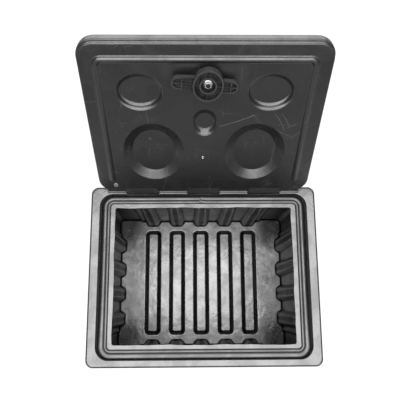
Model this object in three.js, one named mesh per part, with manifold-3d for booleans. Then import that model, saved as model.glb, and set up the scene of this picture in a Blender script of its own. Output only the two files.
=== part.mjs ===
// A blow-moulded plastic tool box that lies on its back: a ribbed body with a cut opening, a rubber seal
// in the rim, and a double-walled lid on a steel pin, held shut by a turning two-armed latch bar.
// Units are millimetres. X runs across the box, Y runs to the hinge, Z runs up, and the origin is the
// centre of the underside. The lid is built shut about its hinge axis, and then turned to its open rest.
import * as THREE from 'three';
import { mergeVertices } from 'three/addons/utils/BufferGeometryUtils.js';
import Module from 'manifold-3d';

const wasm = await Module();
wasm.setup();

// Fits that every piece uses
const restGap = 0.3;
const cutOverrun = 2;

// Body shell
const flangeWidth = 550;
const flangeDepth = 426;
const boxHeight = 450;
const wall = 5;
const flangeDrop = 30;
const flangeOverhang = 4;
const flangeCornerRadius = 17;
const flangeEdgeRadius = 3;
const bodyCornerRadius = 20;
const floorEdgeRadius = 8;
const leastCornerRadius = 3;

// Rim, from the flange in to the opening
const sideFlange = 22;
const endFlange = 17;
const sideChannel = 9.5;
const endChannel = 7.5;
const channelDepth = 14;
const channelCornerRadius = 31;
const sealWidth = 15.5;
const sideBand = 11.5;
const endBand = 10;
const bandDepth = 10;
const openingCornerRadius = 5;

// Seal lobes
const sealClearance = 0.15;
const sealLobeRiseShare = 0.55;

// Ribs pressed into the walls
const ribPitch = 78;
const backRibs = 5;
const sideRibs = 4;
const ribDepth = 20;
const ribTopDepth = 17;
const ribHalfWidth = 22.5;
const ribTopHalfWidth = 17;
const ribFlank = 9;
const ribCornerRadius = 11;
const ribRunout = 20;
const ribTopEndDepth = 0.5;
const ribTopBelowFlange = 15;
const ribSkinOffset = 4;

// Shallow panel round each row of ribs
const rowDepth = 5;
const rowMargin = 14;
const rowRunout = 8;
const rowTopBelowFlange = 6;

// Floor channels, which are the feet outside
const footDrop = 9;
const footLength = 335;
const footWidth = 52;
const footBedWidth = 27;
const footCornerRadius = 14;
const footBedRadius = 4;
const footSkin = 3;

// Hinge
const hingeInset = 11;
const hingeRise = 1;
const pinRadius = 3;
const pinClearance = 0.3;
const pinInset = 44;
const pinPlugLength = 9;
const pinBeadRadius = 6.5;
const pinBeadEnd = 4;
const knuckles = 3;
const knucklePitch = 148.5;
const knuckleWidth = 77;
const knuckleRadius = 10.5;
const knuckleSideClearance = 1.5;
const knuckleFloorClearance = 1;
const lidOpenDegrees = 122.4;

// Lid
const lidThickness = 38;
const lidTrayThickness = 12;
const lidSideClearance = 3;
const lidEndClearance = 1.3;
const lidBelowFlange = 4;
const lidWall = 4;
const lidCornerRadius = 38;
const lidOuterRadius = 12;
const lidInnerRadius = 2.5;
const panelInset = 46;
const panelRise = 3;
const panelCornerRadius = 30;

// Raised bead on the lid's inner face
const beadInset = 33.5;
const beadWidth = 13;
const beadHeight = 5;
const beadSink = 1;
const beadCornerRadius = 22;
const beadEndFromHinge = 39;

// Dished recesses of the lid's inner face: place across, distance from the hinge edge, mouth and bed sizes
const recessDepth = 9;
const recesses = [
  { across: 0, along: 204.5, mouth: [56, 71], bed: [37, 40] },
  { across: -114, along: 121, mouth: [137, 163], bed: [96, 118] },
  { across: 114, along: 121, mouth: [137, 163], bed: [96, 118] },
  { across: -134.5, along: 281, mouth: [96, 89], bed: [82, 62] },
  { across: 134.5, along: 281, mouth: [96, 89], bed: [82, 62] },
];

// Small holes of the lid's inner face near the hinge
const rivetHoleRadius = 4.2;
const rivetInset = 39;
const rivetAlong = 20;
const rivetRadius = 3.8;
const rivetHeadRadius = 5.5;
const rivetHeadHeight = 1;

// Lock and latch bar, about the lock's axis
const lockAcross = 4.5;
const lockFromHinge = 313;
const latchTiltDegrees = 5.5;
const latchUnderRim = 0.6;
const bushHoleRadius = 12;
const bushRadius = 11.7;
const bushBore = 6.3;
const bushFlangeRadius = 17;
const spindleRadius = 6;
const spindleSquare = 8;
const squareClearance = 0.3;
const studRadius = 4;
const studBeyondNut = 3;
const nutAcrossFlats = 13;
const nutHeight = 6.5;
const nutSides = 6;
const washerRadius = 8.5;
const washerThickness = 1.6;

const hubRadius = 30.5;
const hubOvalShare = 1.16;
const hubHeight = 16;
const hubInnerRadius = 17.5;
const hubBossRadius = 9.5;
const hubBossHeight = 4.5;
const hubWall = 3;
const hubFloor = 3;
const hubRibs = 4;
const longArmReach = 73;
const longArmRootWidth = 37;
const longArmTipWidth = 27;
const shortArmReach = 59.5;
const shortArmWidth = 27.5;
const armRise = 3.2;
const armRib = 2.6;
const armFloor = 3;

const gasketRadius = 34;
const gasketThickness = 2;
const lockBaseRadius = 36;
const lockBaseHeight = 8;
const lockBaseEdge = 3;
const handleHubRadius = 23;
const handleHubHeight = 12;
const gripLength = 96;
const gripWidth = 22;
const gripHeight = 24;
const gripEndRadius = 10;
const gripWaistShare = 0.72;
const barrelRadius = 9;
const barrelDepth = 22;
const barrelRise = 1.2;
const keySlotWidth = 1.8;
const keySlotLength = 8;
const keySlotDepth = 6;
const spindleSocketDepth = 12;

// Roundness of the curves
const cornerSteps = 5;
const filletSteps = 3;
const ribCornerSteps = 3;
const recessSteps = 28;
const roundSteps = 24;
const smallRoundSteps = 16;

const finish = {
  shell: { color: 0x2b2c2d, roughness: 0.42, metalness: 0 },
  rubber: { color: 0x3a3a3b, roughness: 0.7, metalness: 0 },
  moulded: { color: 0x1f2021, roughness: 0.5, metalness: 0 },
  plated: { color: 0xb9bbbd, roughness: 0.3, metalness: 1 },
  chrome: { color: 0xc9cbcd, roughness: 0.18, metalness: 1 },
};

// Places that follow from the sizes above
const wallOutline = {
  halfX: flangeWidth / 2 - flangeOverhang,
  halfY: flangeDepth / 2 - flangeOverhang,
  radius: bodyCornerRadius,
};
const flangeOutline = { halfX: flangeWidth / 2, halfY: flangeDepth / 2, radius: flangeCornerRadius };
const channelOutline = {
  halfX: flangeWidth / 2 - sideFlange,
  halfY: flangeDepth / 2 - endFlange,
  radius: channelCornerRadius,
};
const bandOutline = {
  halfX: channelOutline.halfX - sideChannel - sealWidth,
  halfY: channelOutline.halfY - endChannel - sealWidth,
  radius: Math.max(channelCornerRadius - endChannel - sealWidth, leastCornerRadius),
};
const openingOutline = {
  halfX: bandOutline.halfX - sideBand,
  halfY: bandOutline.halfY - endBand,
  radius: openingCornerRadius,
};
const floorTop = footDrop + wall;
const rimUnderside = boxHeight - channelDepth - wall;
const bandUnderside = boxHeight - bandDepth - wall;
const hingeY = flangeDepth / 2 - hingeInset;
const hingeZ = boxHeight + hingeRise;
const pinLength = flangeWidth - 2 * pinInset;
const lidOpen = THREE.MathUtils.degToRad(lidOpenDegrees);

// The lid's tray about the hinge axis, shut
const trayBack = hingeY - (channelOutline.halfY - lidEndClearance);
const trayFront = hingeY + (channelOutline.halfY - lidEndClearance);
const innerFace = -lidBelowFlange - hingeRise;
const lidStep = innerFace + lidTrayThickness;
const outerFace = innerFace + lidThickness;
const trayOutline = {
  halfX: channelOutline.halfX - lidSideClearance,
  halfY: (trayFront - trayBack) / 2,
  radius: lidCornerRadius - lidSideClearance,
};
const lidCentreY = -(trayFront + trayBack) / 2;
const rivetAcross = trayOutline.halfX - rivetInset;
// The open lid's back wall comes to rest on the rounded edge of the flange
const stopY = (hingeInset - flangeEdgeRadius) * Math.cos(lidOpen)
  + (hingeRise + flangeEdgeRadius) * Math.sin(lidOpen) - flangeEdgeRadius;
const lidOverhang = trayBack + stopY - restGap;

// Solids
function toSolid(geometry) {
  const bare = geometry.index ? geometry.clone() : geometry;
  bare.deleteAttribute('normal');
  bare.deleteAttribute('uv');
  const merged = mergeVertices(bare);
  const mesh = new wasm.Mesh({
    numProp: 3,
    vertProperties: Float32Array.from(merged.attributes.position.array),
    triVerts: Uint32Array.from(merged.index.array),
  });
  return new wasm.Manifold(mesh);
}

function toGeometry(solid) {
  const mesh = solid.getMesh();
  const geometry = new THREE.BufferGeometry();
  geometry.setAttribute('position', new THREE.BufferAttribute(mesh.vertProperties, 3));
  geometry.setIndex(new THREE.BufferAttribute(mesh.triVerts, 1));
  geometry.computeVertexNormals();
  return geometry;
}

function joined(solids) {
  return solids.reduce((whole, next) => whole.add(next));
}

function cutBy(solid, cutters) {
  return cutters.reduce((rest, cutter) => rest.subtract(cutter), solid);
}

function piece(name, solid, look) {
  const mesh = new THREE.Mesh(toGeometry(solid), new THREE.MeshStandardMaterial(look));
  mesh.name = name;
  return mesh;
}

// Outlines, rings and lofts
function inset(outline, distance) {
  return {
    halfX: outline.halfX - distance,
    halfY: outline.halfY - distance,
    radius: Math.max(outline.radius - distance, leastCornerRadius),
  };
}

function outlineRing(outline, z, centreX = 0, centreY = 0) {
  const points = [];
  for (let corner = 0; corner < 4; corner += 1) {
    const signX = corner === 0 || corner === 3 ? 1 : -1;
    const signY = corner < 2 ? 1 : -1;
    for (let step = 0; step <= cornerSteps; step += 1) {
      const angle = (corner + step / cornerSteps) * Math.PI / 2;
      points.push(new THREE.Vector3(
        centreX + signX * (outline.halfX - outline.radius) + outline.radius * Math.cos(angle),
        centreY + signY * (outline.halfY - outline.radius) + outline.radius * Math.sin(angle),
        z,
      ));
    }
  }
  return points;
}

function ellipseRing(size, z, centreX, centreY) {
  return Array.from({ length: recessSteps }, (_, step) => {
    const angle = step / recessSteps * Math.PI * 2;
    return new THREE.Vector3(
      centreX + size[0] / 2 * Math.cos(angle),
      centreY + size[1] / 2 * Math.sin(angle),
      z,
    );
  });
}

// Skins rings of equal counts that rise from the first to the last, and closes both ends
function loft(rings) {
  const count = rings[0].length;
  const positions = rings.flat().flatMap((point) => [point.x, point.y, point.z]);
  const index = [];
  for (let level = 0; level < rings.length - 1; level += 1) {
    for (let side = 0; side < count; side += 1) {
      const low = level * count + side;
      const lowNext = level * count + (side + 1) % count;
      index.push(low, lowNext, lowNext + count, low, lowNext + count, low + count);
    }
  }
  const top = (rings.length - 1) * count;
  for (let side = 1; side < count - 1; side += 1) {
    index.push(0, side + 1, side);
    index.push(top, top + side, top + side + 1);
  }
  const geometry = new THREE.BufferGeometry();
  geometry.setAttribute('position', new THREE.Float32BufferAttribute(positions, 3));
  geometry.setIndex(index);
  return toSolid(geometry);
}

// Rings of a rounded edge: rising, the outline grows out of a floor or draws in to a top
function roundedEdge(outline, radius, edgeZ, atTop, centreX = 0, centreY = 0) {
  const rings = [];
  for (let step = 0; step <= filletSteps; step += 1) {
    const turn = step / filletSteps * Math.PI / 2;
    const angle = atTop ? turn : Math.PI / 2 - turn;
    const draw = radius * (1 - Math.cos(angle));
    const height = atTop ? -radius * (1 - Math.sin(angle)) : radius * (1 - Math.sin(angle));
    rings.push(outlineRing(inset(outline, draw), edgeZ + height, centreX, centreY));
  }
  return rings;
}

function straightBlock(outline, low, high, centreX = 0, centreY = 0) {
  return loft([outlineRing(outline, low, centreX, centreY), outlineRing(outline, high, centreX, centreY)]);
}

function box(sizeX, sizeY, sizeZ, x, y, z) {
  const geometry = new THREE.BoxGeometry(sizeX, sizeY, sizeZ);
  geometry.translate(x, y, z);
  return toSolid(geometry);
}

// A cylinder between two heights on an upright axis
function drum(radius, low, high, x = 0, y = 0, steps = roundSteps) {
  const geometry = new THREE.CylinderGeometry(radius, radius, high - low, steps);
  geometry.rotateX(Math.PI / 2);
  geometry.translate(x, y, (low + high) / 2);
  return toSolid(geometry);
}

// A cylinder on an axis across the box
function rodAcross(radius, left, right, y, z, steps = smallRoundSteps) {
  const geometry = new THREE.CylinderGeometry(radius, radius, right - left, steps);
  geometry.rotateZ(Math.PI / 2);
  geometry.translate((left + right) / 2, y, z);
  return toSolid(geometry);
}

// Body
// One rib's plan section: a flat crest with rounded corners on sloping flanks, rooted behind the wall face
function ribRing(halfWidth, depth, z, place) {
  const radius = Math.min(ribCornerRadius, depth);
  const points = [new THREE.Vector2(-halfWidth - ribFlank, -cutOverrun)];
  for (const side of [-1, 1]) {
    for (let step = 0; step <= ribCornerSteps; step += 1) {
      const turn = (side < 0 ? step : ribCornerSteps - step) / ribCornerSteps * Math.PI / 2;
      points.push(new THREE.Vector2(
        side * (halfWidth - radius + radius * Math.cos(turn)),
        depth - radius + radius * Math.sin(turn),
      ));
    }
  }
  points.push(new THREE.Vector2(halfWidth + ribFlank, -cutOverrun));
  const centre = new THREE.Vector2();
  return points.map((point) => {
    const plan = new THREE.Vector2(point.x + place.along, point.y - place.fromCentre);
    plan.rotateAround(centre, place.turn);
    return new THREE.Vector3(plan.x, plan.y, z);
  });
}

function ribSolid(place, skinOffset) {
  const top = boxHeight - flangeDrop - ribTopBelowFlange;
  return loft([
    ribRing(ribHalfWidth - skinOffset, ribDepth, -cutOverrun, place),
    ribRing(ribTopHalfWidth - skinOffset, ribTopDepth, top - ribRunout, place),
    ribRing(ribTopHalfWidth - skinOffset, ribTopEndDepth, top, place),
  ].map((ring) => ring.reverse()));
}

// The panel that a row of ribs stands on
function rowSolid(place, skinOffset) {
  const top = boxHeight - flangeDrop - rowTopBelowFlange;
  const halfWidth = (place.count - 1) / 2 * ribPitch + ribHalfWidth + rowMargin - skinOffset;
  return loft([
    ribRing(halfWidth, rowDepth, -cutOverrun, place),
    ribRing(halfWidth, rowDepth, top - rowRunout, place),
    ribRing(halfWidth, ribTopEndDepth, top, place),
  ].map((ring) => ring.reverse()));
}

function spread(count, pitch) {
  return Array.from({ length: count }, (_, place) => (place - (count - 1) / 2) * pitch);
}

// All that is pressed into the four walls, on the wall face that lies the given distance in
function pressedForms(depthIn, skinOffset) {
  const rows = [
    { turn: 0, count: backRibs, half: wallOutline.halfY },
    { turn: Math.PI / 2, count: sideRibs, half: wallOutline.halfX },
    { turn: Math.PI, count: backRibs, half: wallOutline.halfY },
    { turn: -Math.PI / 2, count: sideRibs, half: wallOutline.halfX },
  ];
  return rows.flatMap(({ turn, count, half }) => {
    const middle = { turn, count, along: 0, fromCentre: half - depthIn };
    const ribs = spread(count, ribPitch).map((along) => ribSolid({ ...middle, along }, skinOffset));
    return [rowSolid(middle, skinOffset), ...ribs];
  });
}

// A round-ended channel whose sides slope from its mouth down to its bed, drawn on a little past the mouth
function footSolid(centreX, grow, mouthZ, bedZ) {
  const slope = (footWidth - footBedWidth) / 2;
  const drop = mouthZ - bedZ;
  const aboveShare = (drop + cutOverrun) / drop;
  const bed = {
    halfX: footBedWidth / 2 + grow,
    halfY: footLength / 2 - slope + grow,
    radius: footBedRadius + grow,
  };
  const above = {
    halfX: bed.halfX + slope * aboveShare,
    halfY: bed.halfY + slope * aboveShare,
    radius: bed.radius + (footCornerRadius - footBedRadius) * aboveShare,
  };
  return loft([
    outlineRing(bed, bedZ, centreX, 0),
    outlineRing(above, mouthZ + cutOverrun, centreX, 0),
  ]);
}

function footCentres() {
  return spread(backRibs, ribPitch);
}

function knuckleCentres() {
  return spread(knuckles, knucklePitch);
}

function bodyCavity() {
  const innerWall = inset(wallOutline, wall);
  const main = loft([
    ...roundedEdge(innerWall, floorEdgeRadius - wall, floorTop, false),
    outlineRing(innerWall, rimUnderside),
  ]);
  const underBand = straightBlock(inset(bandOutline, -wall / 2), rimUnderside - cutOverrun, bandUnderside);
  const mouth = straightBlock(openingOutline, bandUnderside - cutOverrun, boxHeight);
  return joined([cutBy(main, pressedForms(wall, 0)), underBand, mouth]);
}

function boxBody() {
  const shell = loft([
    ...roundedEdge(wallOutline, floorEdgeRadius, footDrop, false),
    outlineRing(wallOutline, boxHeight - flangeEdgeRadius),
  ]);
  const grooves = pressedForms(0, ribSkinOffset);
  const flange = loft([
    ...roundedEdge(flangeOutline, flangeEdgeRadius, boxHeight - flangeDrop, false),
    ...roundedEdge(flangeOutline, flangeEdgeRadius, boxHeight, true),
  ]);
  const beadHalf = pinLength / 2 + pinBeadEnd;
  const bead = rodAcross(pinBeadRadius, -beadHalf, beadHalf, hingeY, hingeZ);
  const feet = footCentres().map((x) => footSolid(x, footSkin, footDrop, 0));
  const outside = joined([cutBy(shell, grooves), flange, bead, ...feet]);

  const channel = loft([
    outlineRing(inset(channelOutline, restGap), boxHeight - channelDepth),
    outlineRing(channelOutline, boxHeight + cutOverrun),
  ]);
  const bandCore = straightBlock(bandOutline, rimUnderside, boxHeight - bandDepth);
  const bedCuts = footCentres().map((x) => footSolid(x, 0, floorTop, floorTop - footDrop));
  const notchWidth = knuckleWidth + 2 * knuckleSideClearance;
  const notchFloor = hingeZ - knuckleRadius - knuckleFloorClearance;
  const notchTop = hingeZ + pinBeadRadius + cutOverrun;
  const notchFront = channelOutline.halfY - cutOverrun;
  const notchBack = flangeDepth / 2 + cutOverrun;
  const notches = knuckleCentres().map((x) => box(
    notchWidth, notchBack - notchFront, notchTop - notchFloor,
    x, (notchFront + notchBack) / 2, (notchFloor + notchTop) / 2,
  ));
  const bore = rodAcross(pinRadius + pinClearance, -pinLength / 2, beadHalf + cutOverrun, hingeY, hingeZ);
  const rimmed = cutBy(outside, [channel]).add(bandCore);
  return cutBy(rimmed, [bodyCavity(), ...bedCuts, ...notches, bore]);
}

// The seal is one strip of two soft lobes, laid round the inner side of the channel, and it stays clear
// of the shut lid's face and of the rivet head on it
function rimSeal() {
  const low = boxHeight - channelDepth + restGap;
  const high = boxHeight - lidBelowFlange - rivetHeadHeight - 2 * restGap;
  const height = high - low;
  const halfWidth = sealWidth / 2 - sealClearance;
  const centre = inset(bandOutline, -sealWidth / 2);
  const section = [];
  const lobeSteps = 2 * filletSteps;
  for (const lobe of [1, -1]) {
    for (let step = 0; step <= lobeSteps; step += 1) {
      const angle = step / lobeSteps * Math.PI;
      section.push([
        lobe * halfWidth / 2 + halfWidth / 2 * Math.cos(angle),
        low + height * sealLobeRiseShare + height * (1 - sealLobeRiseShare) * Math.sin(angle),
      ]);
    }
  }
  const outer = section.filter((point, place) => place !== lobeSteps + 1);
  const profile = [[halfWidth, low], ...outer, [-halfWidth, low]].reverse();
  return sweepRound(centre, profile);
}

// Carries a closed section round an outline: section x is the way out, section y the height
function sweepRound(outline, profile) {
  const rings = profile.map(([out, z]) => outlineRing(inset(outline, -out), z));
  const count = rings[0].length;
  const positions = rings.flat().flatMap((point) => [point.x, point.y, point.z]);
  const index = [];
  for (let level = 0; level < rings.length; level += 1) {
    const nextLevel = (level + 1) % rings.length;
    for (let side = 0; side < count; side += 1) {
      const next = (side + 1) % count;
      const a = level * count + side;
      const b = level * count + next;
      const c = nextLevel * count + next;
      const d = nextLevel * count + side;
      index.push(a, c, b, a, d, c);
    }
  }
  const geometry = new THREE.BufferGeometry();
  geometry.setAttribute('position', new THREE.Float32BufferAttribute(positions, 3));
  geometry.setIndex(index);
  return toSolid(geometry);
}

function hingePin() {
  return rodAcross(pinRadius, -pinLength / 2 + restGap, pinLength / 2 - pinPlugLength, hingeY, hingeZ);
}

function pinPlug() {
  const inner = pinLength / 2 - pinPlugLength + restGap;
  return rodAcross(pinRadius, inner, pinLength / 2 + pinBeadEnd, hingeY, hingeZ);
}

// Lid, shut, about the hinge axis
// A dished recess as a cone between two ellipses, drawn on a little past its mouth
function recessSolid(recess, grow, mouthZ) {
  const y = -trayBack - recess.along;
  const beyondShare = cutOverrun / recessDepth;
  const bed = recess.bed.map((size) => size + 2 * grow);
  const beyond = recess.mouth.map((size, axis) => (
    size + 2 * grow + (size - recess.bed[axis]) * beyondShare
  ));
  return loft([
    ellipseRing(beyond, mouthZ - cutOverrun, recess.across, y),
    ellipseRing(bed, mouthZ + recessDepth, recess.across, y),
  ]);
}

function lidCavity() {
  const tray = inset(trayOutline, lidWall);
  const shell = inset(trayOutline, lidWall - lidOverhang);
  const lowRoom = loft([
    ...roundedEdge(tray, lidWall, innerFace + lidWall, false, 0, lidCentreY),
    outlineRing(tray, lidStep + lidWall + cutOverrun, 0, lidCentreY),
  ]);
  const highRoom = loft([
    outlineRing(shell, lidStep + lidWall, 0, lidCentreY),
    ...roundedEdge(shell, lidOuterRadius - lidWall, outerFace - panelRise - lidWall, true, 0, lidCentreY),
  ]);
  const bosses = recesses.map((recess) => recessSolid(recess, lidWall, innerFace + lidWall));
  return cutBy(lowRoom.add(highRoom), bosses);
}

// Half-round bead along both sides and the free edge, whose ends round off towards the hinge
function beadStations() {
  const halfX = trayOutline.halfX - beadInset;
  const front = -trayFront + beadInset;
  const back = -trayBack - beadEndFromHinge;
  const corner = beadCornerRadius;
  const stations = [];
  const add = (x, y, heading, swell = 1) => {
    stations.push({ x, y, side: new THREE.Vector2(-Math.sin(heading), Math.cos(heading)), swell });
  };
  const turns = Array.from({ length: cornerSteps + 1 }, (_, step) => step / cornerSteps * Math.PI / 2);
  const endTurns = turns.slice(1, -1).reverse();
  for (const turn of endTurns) {
    add(-halfX, back + beadWidth / 2 * Math.sin(turn), -Math.PI / 2, Math.cos(turn));
  }
  add(-halfX, back, -Math.PI / 2);
  for (const turn of turns) {
    add(-halfX + corner * (1 - Math.cos(turn)), front + corner * (1 - Math.sin(turn)), turn - Math.PI / 2);
  }
  for (const turn of turns) {
    add(halfX - corner * (1 - Math.sin(turn)), front + corner * (1 - Math.cos(turn)), turn);
  }
  add(halfX, back, Math.PI / 2);
  for (const turn of endTurns.reverse()) {
    add(halfX, back + beadWidth / 2 * Math.sin(turn), Math.PI / 2, Math.cos(turn));
  }
  return stations;
}

function lidBead() {
  const arcSteps = 2 * filletSteps;
  const rings = beadStations().map((station) => (
    Array.from({ length: arcSteps + 1 }, (_, step) => {
      const angle = step / arcSteps * Math.PI;
      const out = station.swell * beadWidth / 2 * Math.cos(angle);
      const drop = station.swell * (beadHeight + beadSink) * Math.sin(angle);
      return new THREE.Vector3(
        station.x + out * station.side.x, station.y + out * station.side.y, innerFace + beadSink - drop,
      );
    })
  ));
  return loft(rings);
}

function lidShell() {
  const shellOutline = inset(trayOutline, -lidOverhang);
  const panelOutline = { ...inset(trayOutline, panelInset), radius: panelCornerRadius };
  const panelFace = outerFace - panelRise;
  const tray = loft([
    ...roundedEdge(trayOutline, lidInnerRadius, innerFace, false, 0, lidCentreY),
    outlineRing(trayOutline, lidStep + cutOverrun, 0, lidCentreY),
  ]);
  const cover = loft([
    outlineRing(shellOutline, lidStep, 0, lidCentreY),
    ...roundedEdge(shellOutline, lidOuterRadius, panelFace, true, 0, lidCentreY),
  ]);
  const panel = loft([
    outlineRing(panelOutline, panelFace - cutOverrun, 0, lidCentreY),
    outlineRing(inset(panelOutline, panelRise), outerFace, 0, lidCentreY),
  ]);
  const barrels = knuckleCentres().map((x) => rodAcross(
    knuckleRadius, x - knuckleWidth / 2, x + knuckleWidth / 2, 0, 0, roundSteps,
  ));
  const lockY = -trayBack - lockFromHinge;
  const rivetY = -trayBack - rivetAlong;
  const cuts = [
    lidCavity(),
    ...recesses.map((recess) => recessSolid(recess, 0, innerFace)),
    drum(bushHoleRadius, innerFace - cutOverrun, outerFace + cutOverrun, lockAcross, lockY),
    ...[-rivetAcross, rivetAcross].map((x) => drum(
      rivetHoleRadius, innerFace - cutOverrun, innerFace + lidWall + cutOverrun, x, rivetY, smallRoundSteps,
    )),
    rodAcross(pinRadius + pinClearance, -flangeWidth / 2, flangeWidth / 2, 0, 0),
  ];
  return cutBy(joined([tray, cover, panel, lidBead(), ...barrels]), cuts);
}

// A push-in rivet with a low domed head, which closes one of the two small holes
function lidRivet() {
  const y = -trayBack - rivetAlong;
  const seat = innerFace - restGap;
  const head = new THREE.LatheGeometry([
    new THREE.Vector2(0, -rivetHeadHeight),
    new THREE.Vector2(rivetHeadRadius / 2, -rivetHeadHeight),
    new THREE.Vector2(rivetHeadRadius, -rivetHeadHeight / 2),
    new THREE.Vector2(rivetHeadRadius, 0),
    new THREE.Vector2(rivetRadius, 0),
    new THREE.Vector2(rivetRadius, lidWall + restGap),
    new THREE.Vector2(0, lidWall + restGap),
  ], smallRoundSteps);
  head.rotateX(Math.PI / 2);
  head.translate(-rivetAcross, y, seat);
  return toSolid(head);
}

// Lock, about its own axis: heights are the lid's, and the turned arms pass under the rim of the shut box
const armHigh = rimUnderside - hingeZ - latchUnderRim;
const hubHigh = armHigh + armRise;
const hubLow = hubHigh - hubHeight;
const bushFlangeLow = hubHigh + restGap;
const bossLow = hubHigh - hubBossHeight;
const washerHigh = bossLow - restGap;
const nutHigh = washerHigh - washerThickness - restGap;
const nutLow = nutHigh - nutHeight;
const gasketLow = outerFace + restGap;
const baseLow = gasketLow + gasketThickness + restGap;
const handleLow = baseLow + lockBaseHeight + restGap;
const gripTop = handleLow + handleHubHeight + gripHeight;

function shaftBush() {
  const tube = drum(bushRadius, bushFlangeLow, outerFace).add(
    drum(bushFlangeRadius, bushFlangeLow, innerFace - restGap),
  );
  return tube.subtract(drum(bushBore, bushFlangeLow - cutOverrun, outerFace + cutOverrun));
}

function lockGasket() {
  return drum(gasketRadius, gasketLow, gasketLow + gasketThickness).subtract(
    drum(bushHoleRadius, gasketLow - cutOverrun, gasketLow + gasketThickness + cutOverrun),
  );
}

function lockBase() {
  const profile = [
    new THREE.Vector2(bushBore, baseLow),
    new THREE.Vector2(lockBaseRadius, baseLow),
    new THREE.Vector2(lockBaseRadius, baseLow + lockBaseHeight - lockBaseEdge),
    new THREE.Vector2(lockBaseRadius - lockBaseEdge, baseLow + lockBaseHeight),
    new THREE.Vector2(bushBore, baseLow + lockBaseHeight),
    new THREE.Vector2(bushBore, baseLow),
  ];
  const disc = new THREE.LatheGeometry(profile, roundSteps);
  disc.rotateX(Math.PI / 2);
  return toSolid(disc);
}

// Wing grip: its plan narrows at the waist and ends in rounded wings
function lockHandle() {
  const half = gripLength / 2;
  const width = gripWidth / 2;
  const waist = width * gripWaistShare;
  const plan = new THREE.Shape();
  plan.moveTo(-half + gripEndRadius, -width);
  plan.quadraticCurveTo(0, width - 2 * waist, half - gripEndRadius, -width);
  plan.absarc(half - gripEndRadius, 0, width, -Math.PI / 2, Math.PI / 2, false);
  plan.quadraticCurveTo(0, 2 * waist - width, -half + gripEndRadius, width);
  plan.absarc(-half + gripEndRadius, 0, width, Math.PI / 2, Math.PI * 1.5, false);
  const grip = new THREE.ExtrudeGeometry(plan, {
    depth: gripTop - handleLow, bevelEnabled: false, curveSegments: cornerSteps,
  });
  grip.translate(0, 0, handleLow);
  const hub = loftDrum(handleHubRadius, width, handleLow, handleLow + handleHubHeight);
  const barrelBore = drum(barrelRadius + restGap, gripTop - barrelDepth, gripTop + cutOverrun);
  const socket = box(
    spindleSquare + 2 * squareClearance, spindleSquare + 2 * squareClearance, spindleSocketDepth + cutOverrun,
    0, 0, handleLow + (spindleSocketDepth - cutOverrun) / 2,
  );
  return cutBy(toSolid(grip).add(hub), [barrelBore, socket]);
}

function loftDrum(lowRadius, highRadius, low, high) {
  const geometry = new THREE.CylinderGeometry(highRadius, lowRadius, high - low, roundSteps);
  geometry.rotateX(Math.PI / 2);
  geometry.translate(0, 0, (low + high) / 2);
  return toSolid(geometry);
}

function keyBarrel() {
  const barrel = drum(barrelRadius, gripTop - barrelDepth + restGap, gripTop + barrelRise);
  const slot = box(
    keySlotWidth, keySlotLength, keySlotDepth + cutOverrun,
    0, 0, gripTop + barrelRise - (keySlotDepth - cutOverrun) / 2,
  );
  return barrel.subtract(slot);
}

function lockSpindle() {
  const top = handleLow + spindleSocketDepth - restGap;
  const round = drum(spindleRadius, hubHigh + restGap, handleLow - restGap);
  const squareTop = box(
    spindleSquare, spindleSquare, top - handleLow + cutOverrun, 0, 0, (top + handleLow - cutOverrun) / 2,
  );
  const squareLow = box(
    spindleSquare, spindleSquare, hubHigh + cutOverrun - bossLow, 0, 0, (hubHigh + cutOverrun + bossLow) / 2,
  );
  const stud = drum(studRadius, nutLow - studBeyondNut, bossLow + cutOverrun, 0, 0, smallRoundSteps);
  return joined([round, squareTop, squareLow, stud]);
}

function latchWasher() {
  return drum(washerRadius, washerHigh - washerThickness, washerHigh, 0, 0, smallRoundSteps).subtract(
    drum(studRadius + restGap, nutLow, hubHigh, 0, 0, smallRoundSteps),
  );
}

function latchNut() {
  const flatsToCorner = Math.cos(Math.PI / nutSides);
  const hexagon = drum(nutAcrossFlats / 2 / flatsToCorner, nutLow, nutHigh, 0, 0, nutSides);
  const hole = drum(studRadius + restGap, nutLow - cutOverrun, nutHigh + cutOverrun, 0, 0, smallRoundSteps);
  return hexagon.subtract(hole);
}

// An arm's plan from the hub to a rounded tip, drawn in by a margin; direction is -1 or 1 along X
function armPrism(direction, reach, rootWidth, tipWidth, margin, low, high) {
  const tipRadius = tipWidth / 2;
  const plan = new THREE.Shape();
  plan.moveTo(0, -rootWidth / 2 + margin);
  plan.lineTo(reach - tipRadius, -tipRadius + margin);
  plan.absarc(reach - tipRadius, 0, tipRadius - margin, -Math.PI / 2, Math.PI / 2, false);
  plan.lineTo(0, rootWidth / 2 - margin);
  plan.closePath();
  const geometry = new THREE.ExtrudeGeometry(plan, {
    depth: high - low, bevelEnabled: false, curveSegments: cornerSteps,
  });
  if (direction < 0) geometry.rotateZ(Math.PI);
  geometry.translate(0, 0, low);
  return toSolid(geometry);
}

// An oval drum of the hub, longer across the arms than along them
function hubDrum(radius, low, high) {
  return drum(radius, low, high).scale([1, hubOvalShare, 1]);
}

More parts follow.
